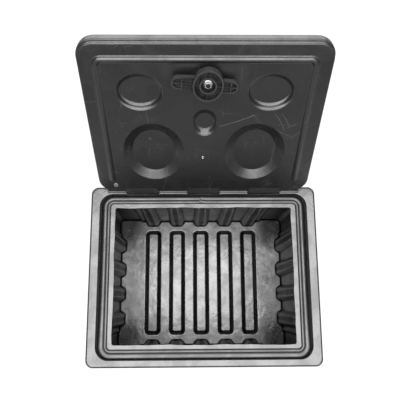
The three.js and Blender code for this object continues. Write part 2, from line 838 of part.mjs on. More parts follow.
// The bar is a hub of two rings and four ribs with two hollow, ribbed arms, open away from the lid
function latchBar() {
  const armLow = hubLow + hubWall;
  const armFloorLow = armHigh - armFloor;
  const arms = [
    { direction: -1, reach: longArmReach, root: longArmRootWidth, tip: longArmTipWidth },
    { direction: 1, reach: shortArmReach, root: shortArmWidth, tip: shortArmWidth },
  ];
  const armBlocks = arms.map((arm) => armPrism(
    arm.direction, arm.reach, arm.root, arm.tip, 0, armLow, armHigh,
  ));
  const pockets = arms.map((arm) => armPrism(
    arm.direction, arm.reach, arm.root, arm.tip, armRib, armLow - cutOverrun, armFloorLow,
  ));
  const middle = (armLow + armFloorLow) / 2;
  const ribDrop = armFloorLow - armLow;
  const webLength = longArmReach + shortArmReach - 2 * armRib;
  const webs = [
    box(webLength, armRib, ribDrop, (shortArmReach - longArmReach) / 2, 0, middle),
    ...arms.map((arm) => (
      box(armRib, arm.tip, ribDrop, arm.direction * (hubRadius + arm.reach) / 2, 0, middle)
    )),
  ];
  const hubRoom = hubDrum(hubRadius - hubWall, hubLow - cutOverrun, hubHigh - hubFloor);
  const ringWall = drum(hubInnerRadius, hubLow, hubHigh - cutOverrun).subtract(
    drum(hubInnerRadius - hubWall, hubLow - cutOverrun, hubHigh),
  );
  const spokes = Array.from({ length: hubRibs }, (_, rib) => {
    const rimRadius = rib % 2 ? hubRadius * hubOvalShare : hubRadius;
    const spoke = new THREE.BoxGeometry(rimRadius - hubInnerRadius, armRib, hubHeight - hubWall);
    spoke.translate((rimRadius + hubInnerRadius - hubWall) / 2, 0, (hubLow + hubHigh) / 2);
    spoke.rotateZ(rib / hubRibs * 2 * Math.PI);
    return toSolid(spoke);
  });
  const ribbedArms = joined([cutBy(joined(armBlocks), pockets), ...webs]);
  const hub = hubDrum(hubRadius, hubLow, hubHigh).subtract(hubRoom);
  const armsOutsideHub = ribbedArms.subtract(hubDrum(hubRadius - hubWall / 2, armLow - cutOverrun, hubHigh));
  const boss = drum(hubBossRadius, bossLow, hubHigh - cutOverrun);
  const squareHole = box(
    spindleSquare + 2 * squareClearance, spindleSquare + 2 * squareClearance, hubHeight + cutOverrun,
    0, 0, (hubLow + hubHigh) / 2,
  );
  return joined([hub, ringWall, armsOutsideHub, boss, ...spokes]).subtract(squareHole);
}

function lidAssembly() {
  const lid = new THREE.Group();
  lid.position.set(0, hingeY, hingeZ);
  lid.rotation.x = -lidOpen;
  lid.add(piece('lid_shell', lidShell(), finish.shell));
  lid.add(piece('lid_rivet', lidRivet(), finish.plated));

  const lock = new THREE.Group();
  lock.position.set(lockAcross, -trayBack - lockFromHinge, 0);
  lock.add(piece('shaft_bush', shaftBush(), finish.moulded));
  lock.add(piece('lock_gasket', lockGasket(), finish.rubber));
  lock.add(piece('lock_base', lockBase(), finish.moulded));
  lid.add(lock);

  const turning = new THREE.Group();
  turning.rotation.z = THREE.MathUtils.degToRad(latchTiltDegrees);
  turning.add(piece('lock_handle', lockHandle(), finish.moulded));
  turning.add(piece('key_barrel', keyBarrel(), finish.chrome));
  turning.add(piece('lock_spindle', lockSpindle(), finish.plated));
  turning.add(piece('latch_bar', latchBar(), finish.moulded));
  turning.add(piece('latch_washer', latchWasher(), finish.plated));
  turning.add(piece('latch_nut', latchNut(), finish.plated));
  lock.add(turning);
  return lid;
}

const toolBox = new THREE.Group();
toolBox.add(piece('box_body', boxBody(), finish.shell));
toolBox.add(piece('rim_seal', rimSeal(), finish.rubber));
toolBox.add(piece('hinge_pin', hingePin(), finish.plated));
toolBox.add(piece('pin_plug', pinPlug(), finish.moulded));
toolBox.add(lidAssembly());

export default toolBox;
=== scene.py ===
"""Looks of a blow-moulded plastic tool box with its lid open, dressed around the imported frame.

The frame is in metres: X across the box, Y to the hinge, Z up. The box's own sizes are in millimetres.
Masks, lamps, floor and camera are in metres.
"""

import logging
import math
from collections.abc import Callable, Iterable
from dataclasses import dataclass, field, replace
from enum import Enum
from functools import reduce

import bmesh
import bpy
from mathutils import Matrix, Vector


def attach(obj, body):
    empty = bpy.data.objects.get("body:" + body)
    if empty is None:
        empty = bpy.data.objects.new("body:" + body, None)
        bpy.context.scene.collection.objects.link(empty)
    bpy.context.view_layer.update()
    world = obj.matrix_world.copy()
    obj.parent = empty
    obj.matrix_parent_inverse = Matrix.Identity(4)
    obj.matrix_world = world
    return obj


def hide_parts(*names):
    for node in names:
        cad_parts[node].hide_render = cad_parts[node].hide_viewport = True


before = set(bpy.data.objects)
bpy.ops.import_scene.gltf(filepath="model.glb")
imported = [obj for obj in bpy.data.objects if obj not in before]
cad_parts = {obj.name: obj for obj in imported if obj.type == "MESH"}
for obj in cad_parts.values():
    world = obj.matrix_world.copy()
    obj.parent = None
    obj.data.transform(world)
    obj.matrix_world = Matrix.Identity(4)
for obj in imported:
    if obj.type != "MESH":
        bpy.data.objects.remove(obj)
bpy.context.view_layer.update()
MM = 0.001
LOG = logging.getLogger("tool_box")

Pair = tuple[float, float]
Triple = tuple[float, float, float]
Key = tuple[float, ...]
Socket = bpy.types.NodeSocket

KNUCKLES = (-148.5, 0.0, 148.5)
FALLING: Pair = (1.0, 0.0)


class Body(Enum):
    """The rigid bodies that pieces ride on."""

    BASE = "base"
    LID = "lid"
    LATCH = "latch"
    KEY = "key_plug"


class Slot(Enum):
    """The record's material slots."""

    SHELL = "shell"
    RUBBER = "seal_rubber"
    MOULDED = "moulded_black"
    PLATED = "plated_steel"
    CHROME = "chrome"


class Finish(Enum):
    """The finishes that pieces wear."""

    BOX = "box_plastic"
    LID = "lid_plastic"
    RUBBER = "rim_rubber"
    MOULDED = "latch_plastic"
    PLATED = "zinc_steel"
    STEEL = "dark_steel"
    CHROME = "bright_chrome"


@dataclass(frozen=True)
class Pattern:
    """A noise pattern: its scale per metre, its octaves, how much the finer ones show, and its warp."""

    scale: float
    detail: float = 3.0
    roughness: float = 0.5
    distortion: float = 0.0


class NodeSheet:
    """A thin wrapper that adds and links shader nodes in one tree."""

    def __init__(self, tree: bpy.types.NodeTree) -> None:
        """Keep the node tree of a material, a world or a group."""
        self.tree = tree

    def add(self, kind: str, **settings: object) -> bpy.types.Node:
        """Add a node and set its properties and sockets.

        Args:
            kind: The node's type name without the ShaderNode prefix.
            settings: Node properties, or sockets by name with spaces as underscores.

        Returns:
            The new node.
        """
        node = self.tree.nodes.new(f"ShaderNode{kind}")
        for key, value in settings.items():
            if hasattr(node, key):
                setattr(node, key, value)
            else:
                node.inputs[key.replace("_", " ")].default_value = value
        return node

    def feed(self, value: object, target: Socket) -> None:
        """Feed an input.

        Args:
            value: An output socket to link, or a plain value to set.
            target: The input socket.
        """
        if isinstance(value, Socket):
            self.tree.links.new(value, target)
        else:
            target.default_value = value

    def math(self, operation: str, *values: object) -> Socket:
        """Add a math node.

        Args:
            operation: Blender's name of the operation.
            values: Its inputs, each a socket or a number.

        Returns:
            The node's output socket.
        """
        node = self.add("Math", operation=operation)
        for value, target in zip(values, node.inputs):
            self.feed(value, target)
        return node.outputs[0]

    def product(self, *factors: object) -> Socket:
        """Multiply sockets and numbers."""
        return reduce(lambda first, second: self.math("MULTIPLY", first, second), factors)

    def largest(self, *values: object) -> Socket:
        """Take the largest of sockets and numbers."""
        return reduce(lambda first, second: self.math("MAXIMUM", first, second), values)

    def axes(self, vector: Socket) -> tuple[Socket, ...]:
        """Part a vector into its axes.

        Args:
            vector: The vector's socket.

        Returns:
            The sockets of X, Y and Z.
        """
        node = self.add("SeparateXYZ")
        self.feed(vector, node.inputs[0])
        return tuple(node.outputs)

    def ramp(self, source: Socket, span: Pair, levels: Pair = (0.0, 1.0)) -> Socket:
        """Map a value smoothly from one range to another, clamped.

        Args:
            source: The socket that gives the value.
            span: The two values between which the output changes.
            levels: The outputs at the two ends of the span.

        Returns:
            The mapped value's socket.
        """
        node = self.add("MapRange", interpolation_type="SMOOTHSTEP", From_Min=span[0], From_Max=span[1],
                        To_Min=levels[0], To_Max=levels[1])
        self.feed(source, node.inputs["Value"])
        return node.outputs[0]

    def noise(self, place: Socket, pattern: Pattern) -> Socket:
        """Add a noise texture.

        Args:
            place: The socket that gives the coordinates.
            pattern: The noise pattern.

        Returns:
            The noise value's socket.
        """
        node = self.add("TexNoise", Scale=pattern.scale, Detail=pattern.detail, Roughness=pattern.roughness,
                        Distortion=pattern.distortion)
        self.feed(place, node.inputs["Vector"])
        return node.outputs[0]

    def cells(self, place: Socket, scale: float, feature: str = "F1") -> Socket:
        """Add a pattern of cells.

        Args:
            place: The socket that gives the coordinates.
            scale: The number of cells per metre.
            feature: Blender's name of what the distance is measured to.

        Returns:
            The distance's socket.
        """
        node = self.add("TexVoronoi", feature=feature, Scale=scale)
        self.feed(place, node.inputs["Vector"])
        return node.outputs["Distance"]

    def blend(self, factor: Socket, first: object, second: Triple) -> Socket:
        """Blend two colours.

        Args:
            factor: The socket that goes from the first colour at 0 to the second at 1.
            first: The first colour, or a socket that gives it.
            second: The second colour.

        Returns:
            The colour's socket.
        """
        node = self.add("Mix", data_type="RGBA")
        self.feed(factor, node.inputs[0])
        targets = [socket for socket in node.inputs if socket.type == "RGBA"]
        for target, colour in zip(targets, (first, second)):
            self.feed(colour if isinstance(colour, Socket) else (*colour, 1.0), target)
        return next(socket for socket in node.outputs if socket.type == "RGBA")

    def bump(self, height: Socket, strength: float, distance: float) -> Socket:
        """Add a bump node.

        Args:
            height: The socket that gives the height.
            strength: How much of the bump shows.
            distance: The depth in metres of a height of 1.

        Returns:
            The bumped normal's socket.
        """
        node = self.add("Bump", Strength=strength, Distance=distance)
        self.feed(height, node.inputs["Height"])
        return node.outputs["Normal"]


class GroupSheet(NodeSheet):
    """A shader node group with number sockets and Object coordinates inside."""

    def __init__(self, name: str, inputs: dict[str, float], outputs: tuple[str, ...]) -> None:
        """Start the group.

        Args:
            name: The group's name.
            inputs: The names and default values of its inputs.
            outputs: The names of its outputs.
        """
        tree = bpy.data.node_groups.new(name, "ShaderNodeTree")
        for label, value in inputs.items():
            socket = tree.interface.new_socket(label, in_out="INPUT", socket_type="NodeSocketFloat")
            socket.default_value = value
        for label in outputs:
            tree.interface.new_socket(label, in_out="OUTPUT", socket_type="NodeSocketFloat")
        super().__init__(tree)
        self.given = tree.nodes.new("NodeGroupInput").outputs
        self.result = tree.nodes.new("NodeGroupOutput").inputs
        self.place = self.add("TexCoord").outputs["Object"]


@dataclass(frozen=True)
class BoxMasks:
    """Where the box's painted shade, painted sheen and floor relief begin and end, as spans in metres along
    an axis of the frame.
    """

    # Spans of a painted shadow line along the parting line and in the hinge gap, of the rim where creases
    # keep less painted shade, and of painted shade in the wall corners.
    parting_across: Pair = (0.2706, 0.2714)
    parting_deep: Pair = (0.2086, 0.2094)
    parting_up: Pair = (0.438, 0.444)
    hinge_gap_deep: Pair = (0.2035, 0.2045)
    hinge_gap_across: Pair = (0.232, 0.236)
    rim_up: Pair = (0.43, 0.434)
    corner_across: Pair = (0.185, 0.245)
    corner_deep: Pair = (0.125, 0.185)
    wall_across: Pair = (0.2665, 0.268)
    wall_deep: Pair = (0.2045, 0.206)
    wall_foot: Pair = (0.018, 0.03)
    wall_top: Pair = (0.425, 0.43)
    # The floor spans place the floor's bumps and its painted sheen, which fades towards the sides and
    # corners.
    floor_top: Pair = (0.016, 0.03)
    floor_under: Pair = (0.002, 0.004)
    floor_side: Pair = (0.12, 0.2)
    floor_corner_across: Pair = (0.16, 0.225)
    floor_corner_deep: Pair = (0.09, 0.165)


@dataclass(frozen=True)
class MouldedSkin:
    """The skin of moulded plastic: slow waves, dimples, fine grain, cloudy gloss, a mottled floor, and masks
    of painted sheen and painted shade.
    """

    masks: BoxMasks = BoxMasks()
    waves: Pattern = Pattern(12.0, 2.0, 0.45)
    dimples: Pattern = Pattern(55.0, 4.0, 0.55, 0.8)
    dimple_span: Pair = (0.3, 0.62)
    dimple_height: float = 0.2
    grain: Pattern = Pattern(1300.0, 2.0, 0.6)
    grain_height: float = 0.012
    clouds: Pattern = Pattern(20.0, 5.0, 0.62, 0.6)
    cloud_span: Pair = (0.36, 0.66)
    upright_span: Pair = (0.25, 0.6)
    # Share of the painted crevice shade kept below the rim and on it.
    rim_shade_share: Pair = (1.0, 0.55)
    corner_dark: Pair = (0.0, 0.75)
    hollows: Pattern = Pattern(24.0, 4.0, 0.52, 0.3)
    hollow_height: float = 2.3
    pit_scale: float = 95.0
    pit_span: Pair = (0.08, 0.3)
    pit_places: Pattern = Pattern(22.0, 2.0)
    pit_place_span: Pair = (0.5, 0.6)
    pit_height: float = -0.35
    # Painted sheen on the floor: a lighter tone in soft random patches, strongest in the middle of the floor,
    # weaker at its sides and gone in its corners.
    painted_sheen: Pattern = Pattern(30.0, 5.0, 0.6, 0.3)
    sheen_span: Pair = (0.3, 0.7)
    sheen_levels: Pair = (0.35, 1.0)
    sheen_middle: Pair = (0.75, 1.0)
    level_span: Pair = (0.88, 0.97)

    def build(self) -> bpy.types.NodeTree:
        """Build the group.

        Returns:
            The group, with outputs for height, cloud, uprightness, the painted floor sheen, the painted
            shadow lines and corner shade, and the share of crevice shade kept.
        """
        sheet = GroupSheet("moulded_skin", {"Wave": 1.0, "Dimple": 1.0, "Grain": 1.0, "Mottle": 0.0},
                           ("Height", "Cloud", "Upright", "PaintedSheen", "PaintedShade", "CreviceShadeShare"))
        wave = sheet.product(sheet.noise(sheet.place, self.waves), sheet.given["Wave"])
        warped = sheet.ramp(sheet.noise(sheet.place, self.dimples), self.dimple_span)
        dimple = sheet.product(warped, sheet.given["Dimple"], self.dimple_height)
        grain = sheet.product(sheet.noise(sheet.place, self.grain), sheet.given["Grain"], self.grain_height)
        smooth = sheet.math("ADD", wave, sheet.math("ADD", dimple, grain))
        facing = sheet.axes(sheet.add("TexCoord").outputs["Normal"])[2]
        sheet.feed(sheet.math("ADD", smooth, self._floor_mottle_and_sheen(sheet, facing)), sheet.result["Height"])
        upright = sheet.ramp(sheet.math("ABSOLUTE", facing), self.upright_span, FALLING)
        sheet.feed(upright, sheet.result["Upright"])
        self._paint_shade(sheet)
        cloud = sheet.ramp(sheet.noise(sheet.place, self.clouds), self.cloud_span)
        sheet.feed(cloud, sheet.result["Cloud"])
        return sheet.tree

    def _paint_shade(self, sheet: GroupSheet) -> None:
        """Paint shade: a shadow line along the parting line and in the hinge gap, and shade in the wall
        corners.

        It also gives the share of the painted crevice shade that is kept, which is less on the rim than below
        it.

        Args:
            sheet: The skin's group.
        """
        x, y, z = sheet.axes(sheet.place)
        across, deep = sheet.math("ABSOLUTE", x), sheet.math("ABSOLUTE", y)
        # Painted shadow in the hinge gap behind the rim.
        gap = sheet.product(sheet.ramp(y, self.masks.hinge_gap_deep),
                            sheet.ramp(across, self.masks.hinge_gap_across, FALLING))
        # Painted shadow line along the parting line.
        edge = sheet.largest(sheet.ramp(across, self.masks.parting_across),
                             sheet.ramp(deep, self.masks.parting_deep), gap)
        line = sheet.product(edge, sheet.ramp(z, self.masks.parting_up))
        dark = sheet.largest(line, self._wall_corner(sheet, across, deep, z))
        sheet.feed(sheet.product(dark, sheet.given["Mottle"]), sheet.result["PaintedShade"])
        # Share of the painted crevice shade kept: less on the rim.
        sheet.feed(sheet.ramp(z, self.masks.rim_up, self.rim_shade_share), sheet.result["CreviceShadeShare"])

    def _wall_corner(self, sheet: GroupSheet, across: Socket, deep: Socket, up: Socket) -> Socket:
        """Darken the four upright corners inside the box, where little light gets in.

        Args:
            sheet: The skin's group.
            across: The distance from the middle across.
            deep: The distance from the middle in depth.
            up: The height.

        Returns:
            A mask that grows towards the corners of the inner walls.
        """
        near = sheet.product(sheet.ramp(across, self.masks.corner_across, self.corner_dark),
                             sheet.ramp(deep, self.masks.corner_deep))
        within = sheet.product(sheet.ramp(across, self.masks.wall_across, FALLING),
                               sheet.ramp(deep, self.masks.wall_deep, FALLING))
        upright = sheet.product(sheet.ramp(up, self.masks.wall_foot),
                                sheet.ramp(up, self.masks.wall_top, FALLING))
        return sheet.product(near, sheet.product(within, upright))

    def _floor_mottle_and_sheen(self, sheet: GroupSheet, facing: Socket) -> Socket:
        """Draw the uneven floor that blow moulding leaves inside the box, and feed its painted sheen.

        Args:
            sheet: The skin's group.
            facing: How far the surface faces up.

        Returns:
            The height of the soft hollows and small pits, which fade out above the floor.
        """
        x, y, z = sheet.axes(sheet.place)
        across, deep = sheet.math("ABSOLUTE", x), sheet.math("ABSOLUTE", y)
        on_floor = sheet.ramp(z, self.masks.floor_top, FALLING)
        # The painted sheen stays off the corners and weakens towards the sides, where shade falls.
        corner = sheet.product(sheet.ramp(across, self.masks.floor_corner_across),
                               sheet.ramp(deep, self.masks.floor_corner_deep))
        level = sheet.product(on_floor, sheet.ramp(z, self.masks.floor_under),
                              sheet.ramp(across, self.masks.floor_side, self.sheen_middle),
                              sheet.math("SUBTRACT", 1.0, corner), sheet.ramp(facing, self.level_span))
        sheen_patches = sheet.ramp(sheet.noise(sheet.place, self.painted_sheen), self.sheen_span, self.sheen_levels)
        sheet.feed(sheet.product(level, sheen_patches, sheet.given["Mottle"]), sheet.result["PaintedSheen"])
        pit = sheet.ramp(sheet.cells(sheet.place, self.pit_scale), self.pit_span, FALLING)
        some = sheet.ramp(sheet.noise(sheet.place, self.pit_places), self.pit_place_span)
        hollow = sheet.product(sheet.noise(sheet.place, self.hollows), self.hollow_height)
        rough = sheet.math("ADD", hollow, sheet.product(pit, some, self.pit_height))
        return sheet.product(rough, on_floor, sheet.given["Mottle"])


@dataclass(frozen=True)
class HairLines:
    """One direction of hair scratches: its turn in radians, its cells per metre and its shift."""

    turn: float
    scale: float
    shift: float


@dataclass(frozen=True)
class HandlingWear:
    """Sparse hair scratches, scuffed patches and dust specks."""

    lines: tuple[HairLines, ...] = (
        HairLines(0.5, 6.0, 0.0), HairLines(-0.9, 8.0, 3.7), HairLines(1.9, 5.0, 8.1))
    tilt: Pair = (0.3, 0.2)
    stretch: Triple = (1.0, 0.06, 1.0)
    line_span: Pair = (0.0, 0.0035)
    gap_scale: float = 9.0
    gap_detail: float = 2.0
    gap_span: Pair = (0.56, 0.68)
    patches: Pattern = Pattern(15.0, 6.0, 0.7)
    patch_span: Pair = (0.58, 0.74)
    grit: Pattern = Pattern(400.0, 3.0, 0.7)
    grit_span: Pair = (0.5, 0.7)
    speck_scale: float = 160.0
    speck_span: Pair = (0.05, 0.13)
    speck_places: Pattern = Pattern(60.0, 2.0)
    speck_place_span: Pair = (0.6, 0.66)

    def build(self) -> bpy.types.NodeTree:
        """Build the group.

        Returns:
            The group, with Scratch, Scuff and Dust outputs.
        """
        sheet = GroupSheet("handling_wear", {"Scratches": 1.0, "Scuffs": 1.0, "Specks": 1.0},
                           ("Scratch", "Scuff", "Dust"))
        scratch = sheet.largest(*(self._hair_lines(sheet, lines) for lines in self.lines))
        patch = sheet.ramp(sheet.noise(sheet.place, self.patches), self.patch_span)
        grit = sheet.ramp(sheet.noise(sheet.place, self.grit), self.grit_span)
        dot = sheet.ramp(sheet.cells(sheet.place, self.speck_scale), self.speck_span, FALLING)
        few = sheet.ramp(sheet.noise(sheet.place, self.speck_places), self.speck_place_span)
        for name, factors in (("Scratch", (scratch, sheet.given["Scratches"])),
                              ("Scuff", (patch, grit, sheet.given["Scuffs"])),
                              ("Dust", (dot, few, sheet.given["Specks"]))):
            sheet.feed(sheet.product(*factors), sheet.result[name])
        return sheet.tree

    def _hair_lines(self, sheet: GroupSheet, lines: HairLines) -> Socket:
        """Draw broken hair lines that run mostly one way.

        Args:
            sheet: The wear's group.
            lines: Their direction.

        Returns:
            A mask that is 1 on the lines.
        """
        mapping = sheet.add("Mapping", Rotation=(*self.tilt, lines.turn),
                            Location=(lines.shift, lines.shift, 0.0), Scale=self.stretch)
        sheet.feed(sheet.place, mapping.inputs["Vector"])
        away = sheet.cells(mapping.outputs["Vector"], lines.scale, "DISTANCE_TO_EDGE")
        broken = sheet.noise(sheet.place, Pattern(self.gap_scale + lines.scale, self.gap_detail))
        return sheet.product(sheet.ramp(away, self.line_span, FALLING), sheet.ramp(broken, self.gap_span))


@dataclass(frozen=True)
class LidFrame:
    """The lid's own frame: it is drawn shut about the hinge axis and then turned open."""

    hinge_y: float = 202.0
    hinge_z: float = 451.0
    open_degrees: float = 122.4
    tray_back: float = 7.3
    inner_face: float = -5.0

    def matrix(self) -> Matrix:
        """Return the turn and shift that carry the shut lid, in millimetres, to its open rest."""
        shift = Matrix.Translation((0.0, self.hinge_y, self.hinge_z))
        return shift @ Matrix.Rotation(-math.radians(self.open_degrees), 4, "X")

    def drawn(self, across: float, along: float) -> Triple:
        """Return the point of the shut lid's inner face that lies so far from the hinge edge."""
        return (across, -self.tray_back - along, self.inner_face)


@dataclass(frozen=True)
class ArcMark:
    """One curved scratch on the lid's inner face.

    It is part of a circle whose centre lies across and along the lid. The scratch shows between low and
    high, measured across from the centre, and on the upper side of the centre or, for -1, the lower.
    """

    across: float
    along: float
    radius: float
    width: float
    low: float
    high: float
    side: int
    soft: float = 6.0
    core_share: float = 0.4

    def draw(self, sheet: NodeSheet) -> Socket:
        """Draw the scratch in the plane of the open lid.

        Args:
            sheet: The material's sheet.

        Returns:
            A mask that is 1 on the scratch.
        """
        lid = LidFrame()
        moved = sheet.add("VectorMath", operation="SUBTRACT")
        sheet.feed(sheet.add("TexCoord").outputs["Object"], moved.inputs[0])
        sheet.feed(lid.matrix() @ Vector(lid.drawn(self.across, self.along)) * MM, moved.inputs[1])
        length = sheet.add("VectorMath", operation="LENGTH")
        sheet.feed(moved.outputs["Vector"], length.inputs[0])
        off = sheet.math("ABSOLUTE", sheet.math("SUBTRACT", length.outputs["Value"], self.radius * MM))
        line = sheet.ramp(off, (self.width * MM * self.core_share, self.width * MM), FALLING)
        x, _, z = sheet.axes(moved.outputs["Vector"])
        soft = self.soft * MM
        start = sheet.ramp(x, (self.low * MM - soft, self.low * MM))
        end = sheet.ramp(x, (self.high * MM, self.high * MM + soft), FALLING)
        half = sheet.ramp(z, (-self.side * soft, self.side * soft))
        return sheet.product(line, sheet.product(start, end, half))


def start_material(name: str) -> tuple[bpy.types.Material, NodeSheet, bpy.types.Node]:
    """Start a material with nodes.

    Args:
        name: The material's name.

    Returns:
        The material, the sheet of its nodes and its Principled BSDF.
    """
    material = bpy.data.materials.new(name)
    material.use_nodes = True
    return material, NodeSheet(material.node_tree), material.node_tree.nodes["Principled BSDF"]


@dataclass(frozen=True)
class PlasticFinish:
    """A black plastic or rubber finish with moulded skin and handling wear, painted highlights on convex
    edges, painted shade in creases and, on the box, painted shadow lines and a painted floor sheen.
    """

    finish: Finish
    colour: Triple
    # Colour of worn marks, which the painted edge highlights share.
    worn: Triple = (0.14, 0.14, 0.14)
    # Colour of the painted shade in creases and along shadow lines.
    crevice_shade_colour: Triple = (0.001, 0.001, 0.001)
    # Colour of the painted sheen on the box floor.
    painted_sheen: Triple = (0.0, 0.0, 0.0)
    roughness: float = 0.4
    cloud: float = 0.08
    worn_roughness: float = 0.2
    specular: float = 1.0
    cloud_specular: float = 0.84
    ior: float = 1.5
    wave: float = 1.0
    dimple: float = 1.0
    grain: float = 1.0
    relief: float = 0.6
    scratches: float = 0.4
    scuffs: float = 0.4
    specks: float = 0.3
    walls: float = 0.0
    # Turns on the floor's bumps and painted sheen, and the painted shadow lines and corner shade.
    mottle_and_shade: float = 0.0
    # How far convex edges, found by pointiness, are lightened: a painted highlight.
    edges: float = 0.0
    highlight_bend: Pair = (0.503, 0.525)
    # How dark the painted shade in creases and along the box's shadow lines gets.
    crevice_shade: float = 0.0
    shade_bend: Pair = (0.484, 0.497)
    marks: tuple[ArcMark, ...] = ()

    def build(self, groups: dict[str, bpy.types.NodeTree]) -> bpy.types.Material:
        """Build the material.

        Args:
            groups: The shared shader groups by name.

        Returns:
            The new material.
        """
        material, sheet, shader = start_material(self.finish.value)
        skin = sheet.add("Group", node_tree=groups["skin"], Wave=self.wave, Dimple=self.dimple,
                         Grain=self.grain, Mottle=self.mottle_and_shade).outputs
        wear = sheet.add("Group", node_tree=groups["wear"], Scratches=self.scratches, Scuffs=self.scuffs,
                         Specks=self.specks).outputs
        bend = sheet.add("NewGeometry").outputs["Pointiness"]
        # Real scratches, scuffs, dust and lid scratches, plus the painted highlight on convex edges.
        worn = sheet.largest(wear["Scratch"], wear["Scuff"], wear["Dust"],
                             sheet.ramp(bend, self.highlight_bend, (0.0, self.edges)),
                             *(mark.draw(sheet) for mark in self.marks))
        # Painted shade: creases found by pointiness, and the box's painted shadow lines and corners, darken
        # the colour and dim the reflection.
        hollow = sheet.product(sheet.ramp(bend, self.shade_bend, (self.crevice_shade, 0.0)), skin["CreviceShadeShare"])
        painted_shade = sheet.largest(hollow, sheet.product(skin["PaintedShade"], self.crevice_shade))
        # Base colour with the painted floor sheen, then the painted shade.
        painted_light_colour = sheet.blend(painted_shade, sheet.blend(skin["PaintedSheen"], self.colour, self.painted_sheen), self.crevice_shade_colour)
        gloss = sheet.ramp(skin["Cloud"], (0.0, 1.0), (self.roughness, self.roughness + self.cloud))
        gloss = sheet.math("ADD", gloss, sheet.product(skin["Upright"], self.walls))
        gloss = sheet.math("ADD", gloss, sheet.product(worn, self.worn_roughness))
        smear = sheet.ramp(skin["Cloud"], (0.0, 1.0), (self.specular, self.cloud_specular * self.specular))
        mirror = sheet.product(sheet.math("SUBTRACT", 1.0, painted_shade), smear)
        sheet.feed(sheet.blend(worn, painted_light_colour, self.worn), shader.inputs["Base Color"])
        sheet.feed(gloss, shader.inputs["Roughness"])
        sheet.feed(sheet.bump(skin["Height"], 1.0, self.relief * MM), shader.inputs["Normal"])
        sheet.feed(mirror, shader.inputs["Specular IOR Level"])
        sheet.feed(self.ior, shader.inputs["IOR"])
        return material


@dataclass(frozen=True)
class MetalFinish:
    """A plated or polished metal finish."""

    finish: Finish
    colour: Triple
    roughness: float = 0.25
    cloud: float = 0.1
    dull_share: float = 0.6
    wave: float = 0.1
    dimple: float = 0.1
    grain: float = 2.0
    relief: float = 0.1
    relief_share: float = 0.6
    scratches: float = 0.6
    scuffs: float = 0.8

    def build(self, groups: dict[str, bpy.types.NodeTree]) -> bpy.types.Material:
        """Build the material.

        Args:
            groups: The shared shader groups by name.

        Returns:
            The new material.
        """
        material, sheet, shader = start_material(self.finish.value)
        skin = sheet.add("Group", node_tree=groups["skin"], Wave=self.wave, Dimple=self.dimple,
                         Grain=self.grain).outputs
        wear = sheet.add("Group", node_tree=groups["wear"], Scratches=self.scratches, Scuffs=self.scuffs,
                         Specks=0.0).outputs
        dull = tuple(self.dull_share * level for level in self.colour)
        worn = sheet.largest(wear["Scratch"], wear["Scuff"])
        gloss = sheet.ramp(skin["Cloud"], (0.0, 1.0), (self.roughness, self.roughness + self.cloud))
        sheet.feed(1.0, shader.inputs["Metallic"])
        sheet.feed(sheet.blend(worn, self.colour, dull), shader.inputs["Base Color"])
        sheet.feed(gloss, shader.inputs["Roughness"])
        relief = sheet.bump(skin["Height"], self.relief_share, self.relief * MM)
        sheet.feed(relief, shader.inputs["Normal"])
        return material


LID_MARKS = (
    ArcMark(across=-92.0, along=613.7, radius=436.0, width=0.55, low=126.0, high=198.0, side=-1),
    ArcMark(across=-124.0, along=149.0, radius=11.0, width=0.9, low=3.0, high=8.0, side=1),
    ArcMark(across=60.0, along=150.0, radius=118.0, width=0.34, low=92.0, high=110.0, side=1),
    ArcMark(across=73.0, along=152.0, radius=118.0, width=0.3, low=94.0, high=108.0, side=1),
)


@dataclass
class Wardrobe:
    """Every finish of the box, built once and handed out by name."""

    finishes: tuple[PlasticFinish | MetalFinish, ...] = (
        # Box: a grey painted sheen on the floor, painted highlights on convex edges and painted shade in
        # creases and along shadow lines.
        PlasticFinish(Finish.BOX, (0.008, 0.0081, 0.0083), roughness=0.25, ior=1.8, painted_sheen=(0.5, 0.5, 0.5),
                      relief=0.8, scratches=0.25, walls=0.25, mottle_and_shade=1.0, edges=0.25, crevice_shade=0.86),
        # Lid: faint painted highlights on convex edges.
        PlasticFinish(Finish.LID, (0.009, 0.0092, 0.0095), roughness=0.27, specular=0.95, ior=1.62,
                      edges=0.05, dimple=0.4, relief=0.45, scratches=0.5, scuffs=0.5, marks=LID_MARKS),
        PlasticFinish(Finish.RUBBER, (0.03, 0.03, 0.031), roughness=0.38, specular=0.95, ior=1.7, wave=0.3,
                      dimple=0.3, scratches=0.1, scuffs=0.15),
        # Latch plastic: painted highlights on convex edges and a little painted shade in creases.
        PlasticFinish(Finish.MOULDED, (0.016, 0.016, 0.0163), roughness=0.24, cloud=0.06, specular=0.7,
                      wave=0.2, dimple=0.1, grain=0.8, scratches=0.3, scuffs=0.3, edges=0.2, crevice_shade=0.1),
        MetalFinish(Finish.PLATED, (0.88, 0.88, 0.89), 0.32),
        MetalFinish(Finish.STEEL, (0.06, 0.06, 0.06), 0.4),
        MetalFinish(Finish.CHROME, (0.82, 0.82, 0.83), 0.12, 0.06),
    )
    built: dict[Finish, bpy.types.Material] = field(default_factory=dict)

    def build(self) -> None:
        """Build every material on the shared groups."""
        groups = {"skin": MouldedSkin().build(), "wear": HandlingWear().build()}
        for finish in self.finishes:
            self.built[finish.finish] = finish.build(groups)


@dataclass
class Front:
    """An open end of a skin: its vertices in order and the edges between them."""

    ring: list[bmesh.types.BMVert]
    edges: list[bmesh.types.BMEdge]

    def laid(self, points: list[Vector]) -> "Front":
        """Move the vertices to as many points.

        Args:
            points: The points in order.

        Returns:
            The front itself.
        """
        for vert, point in zip(self.ring, points, strict=True):
            vert.co = point
        return self


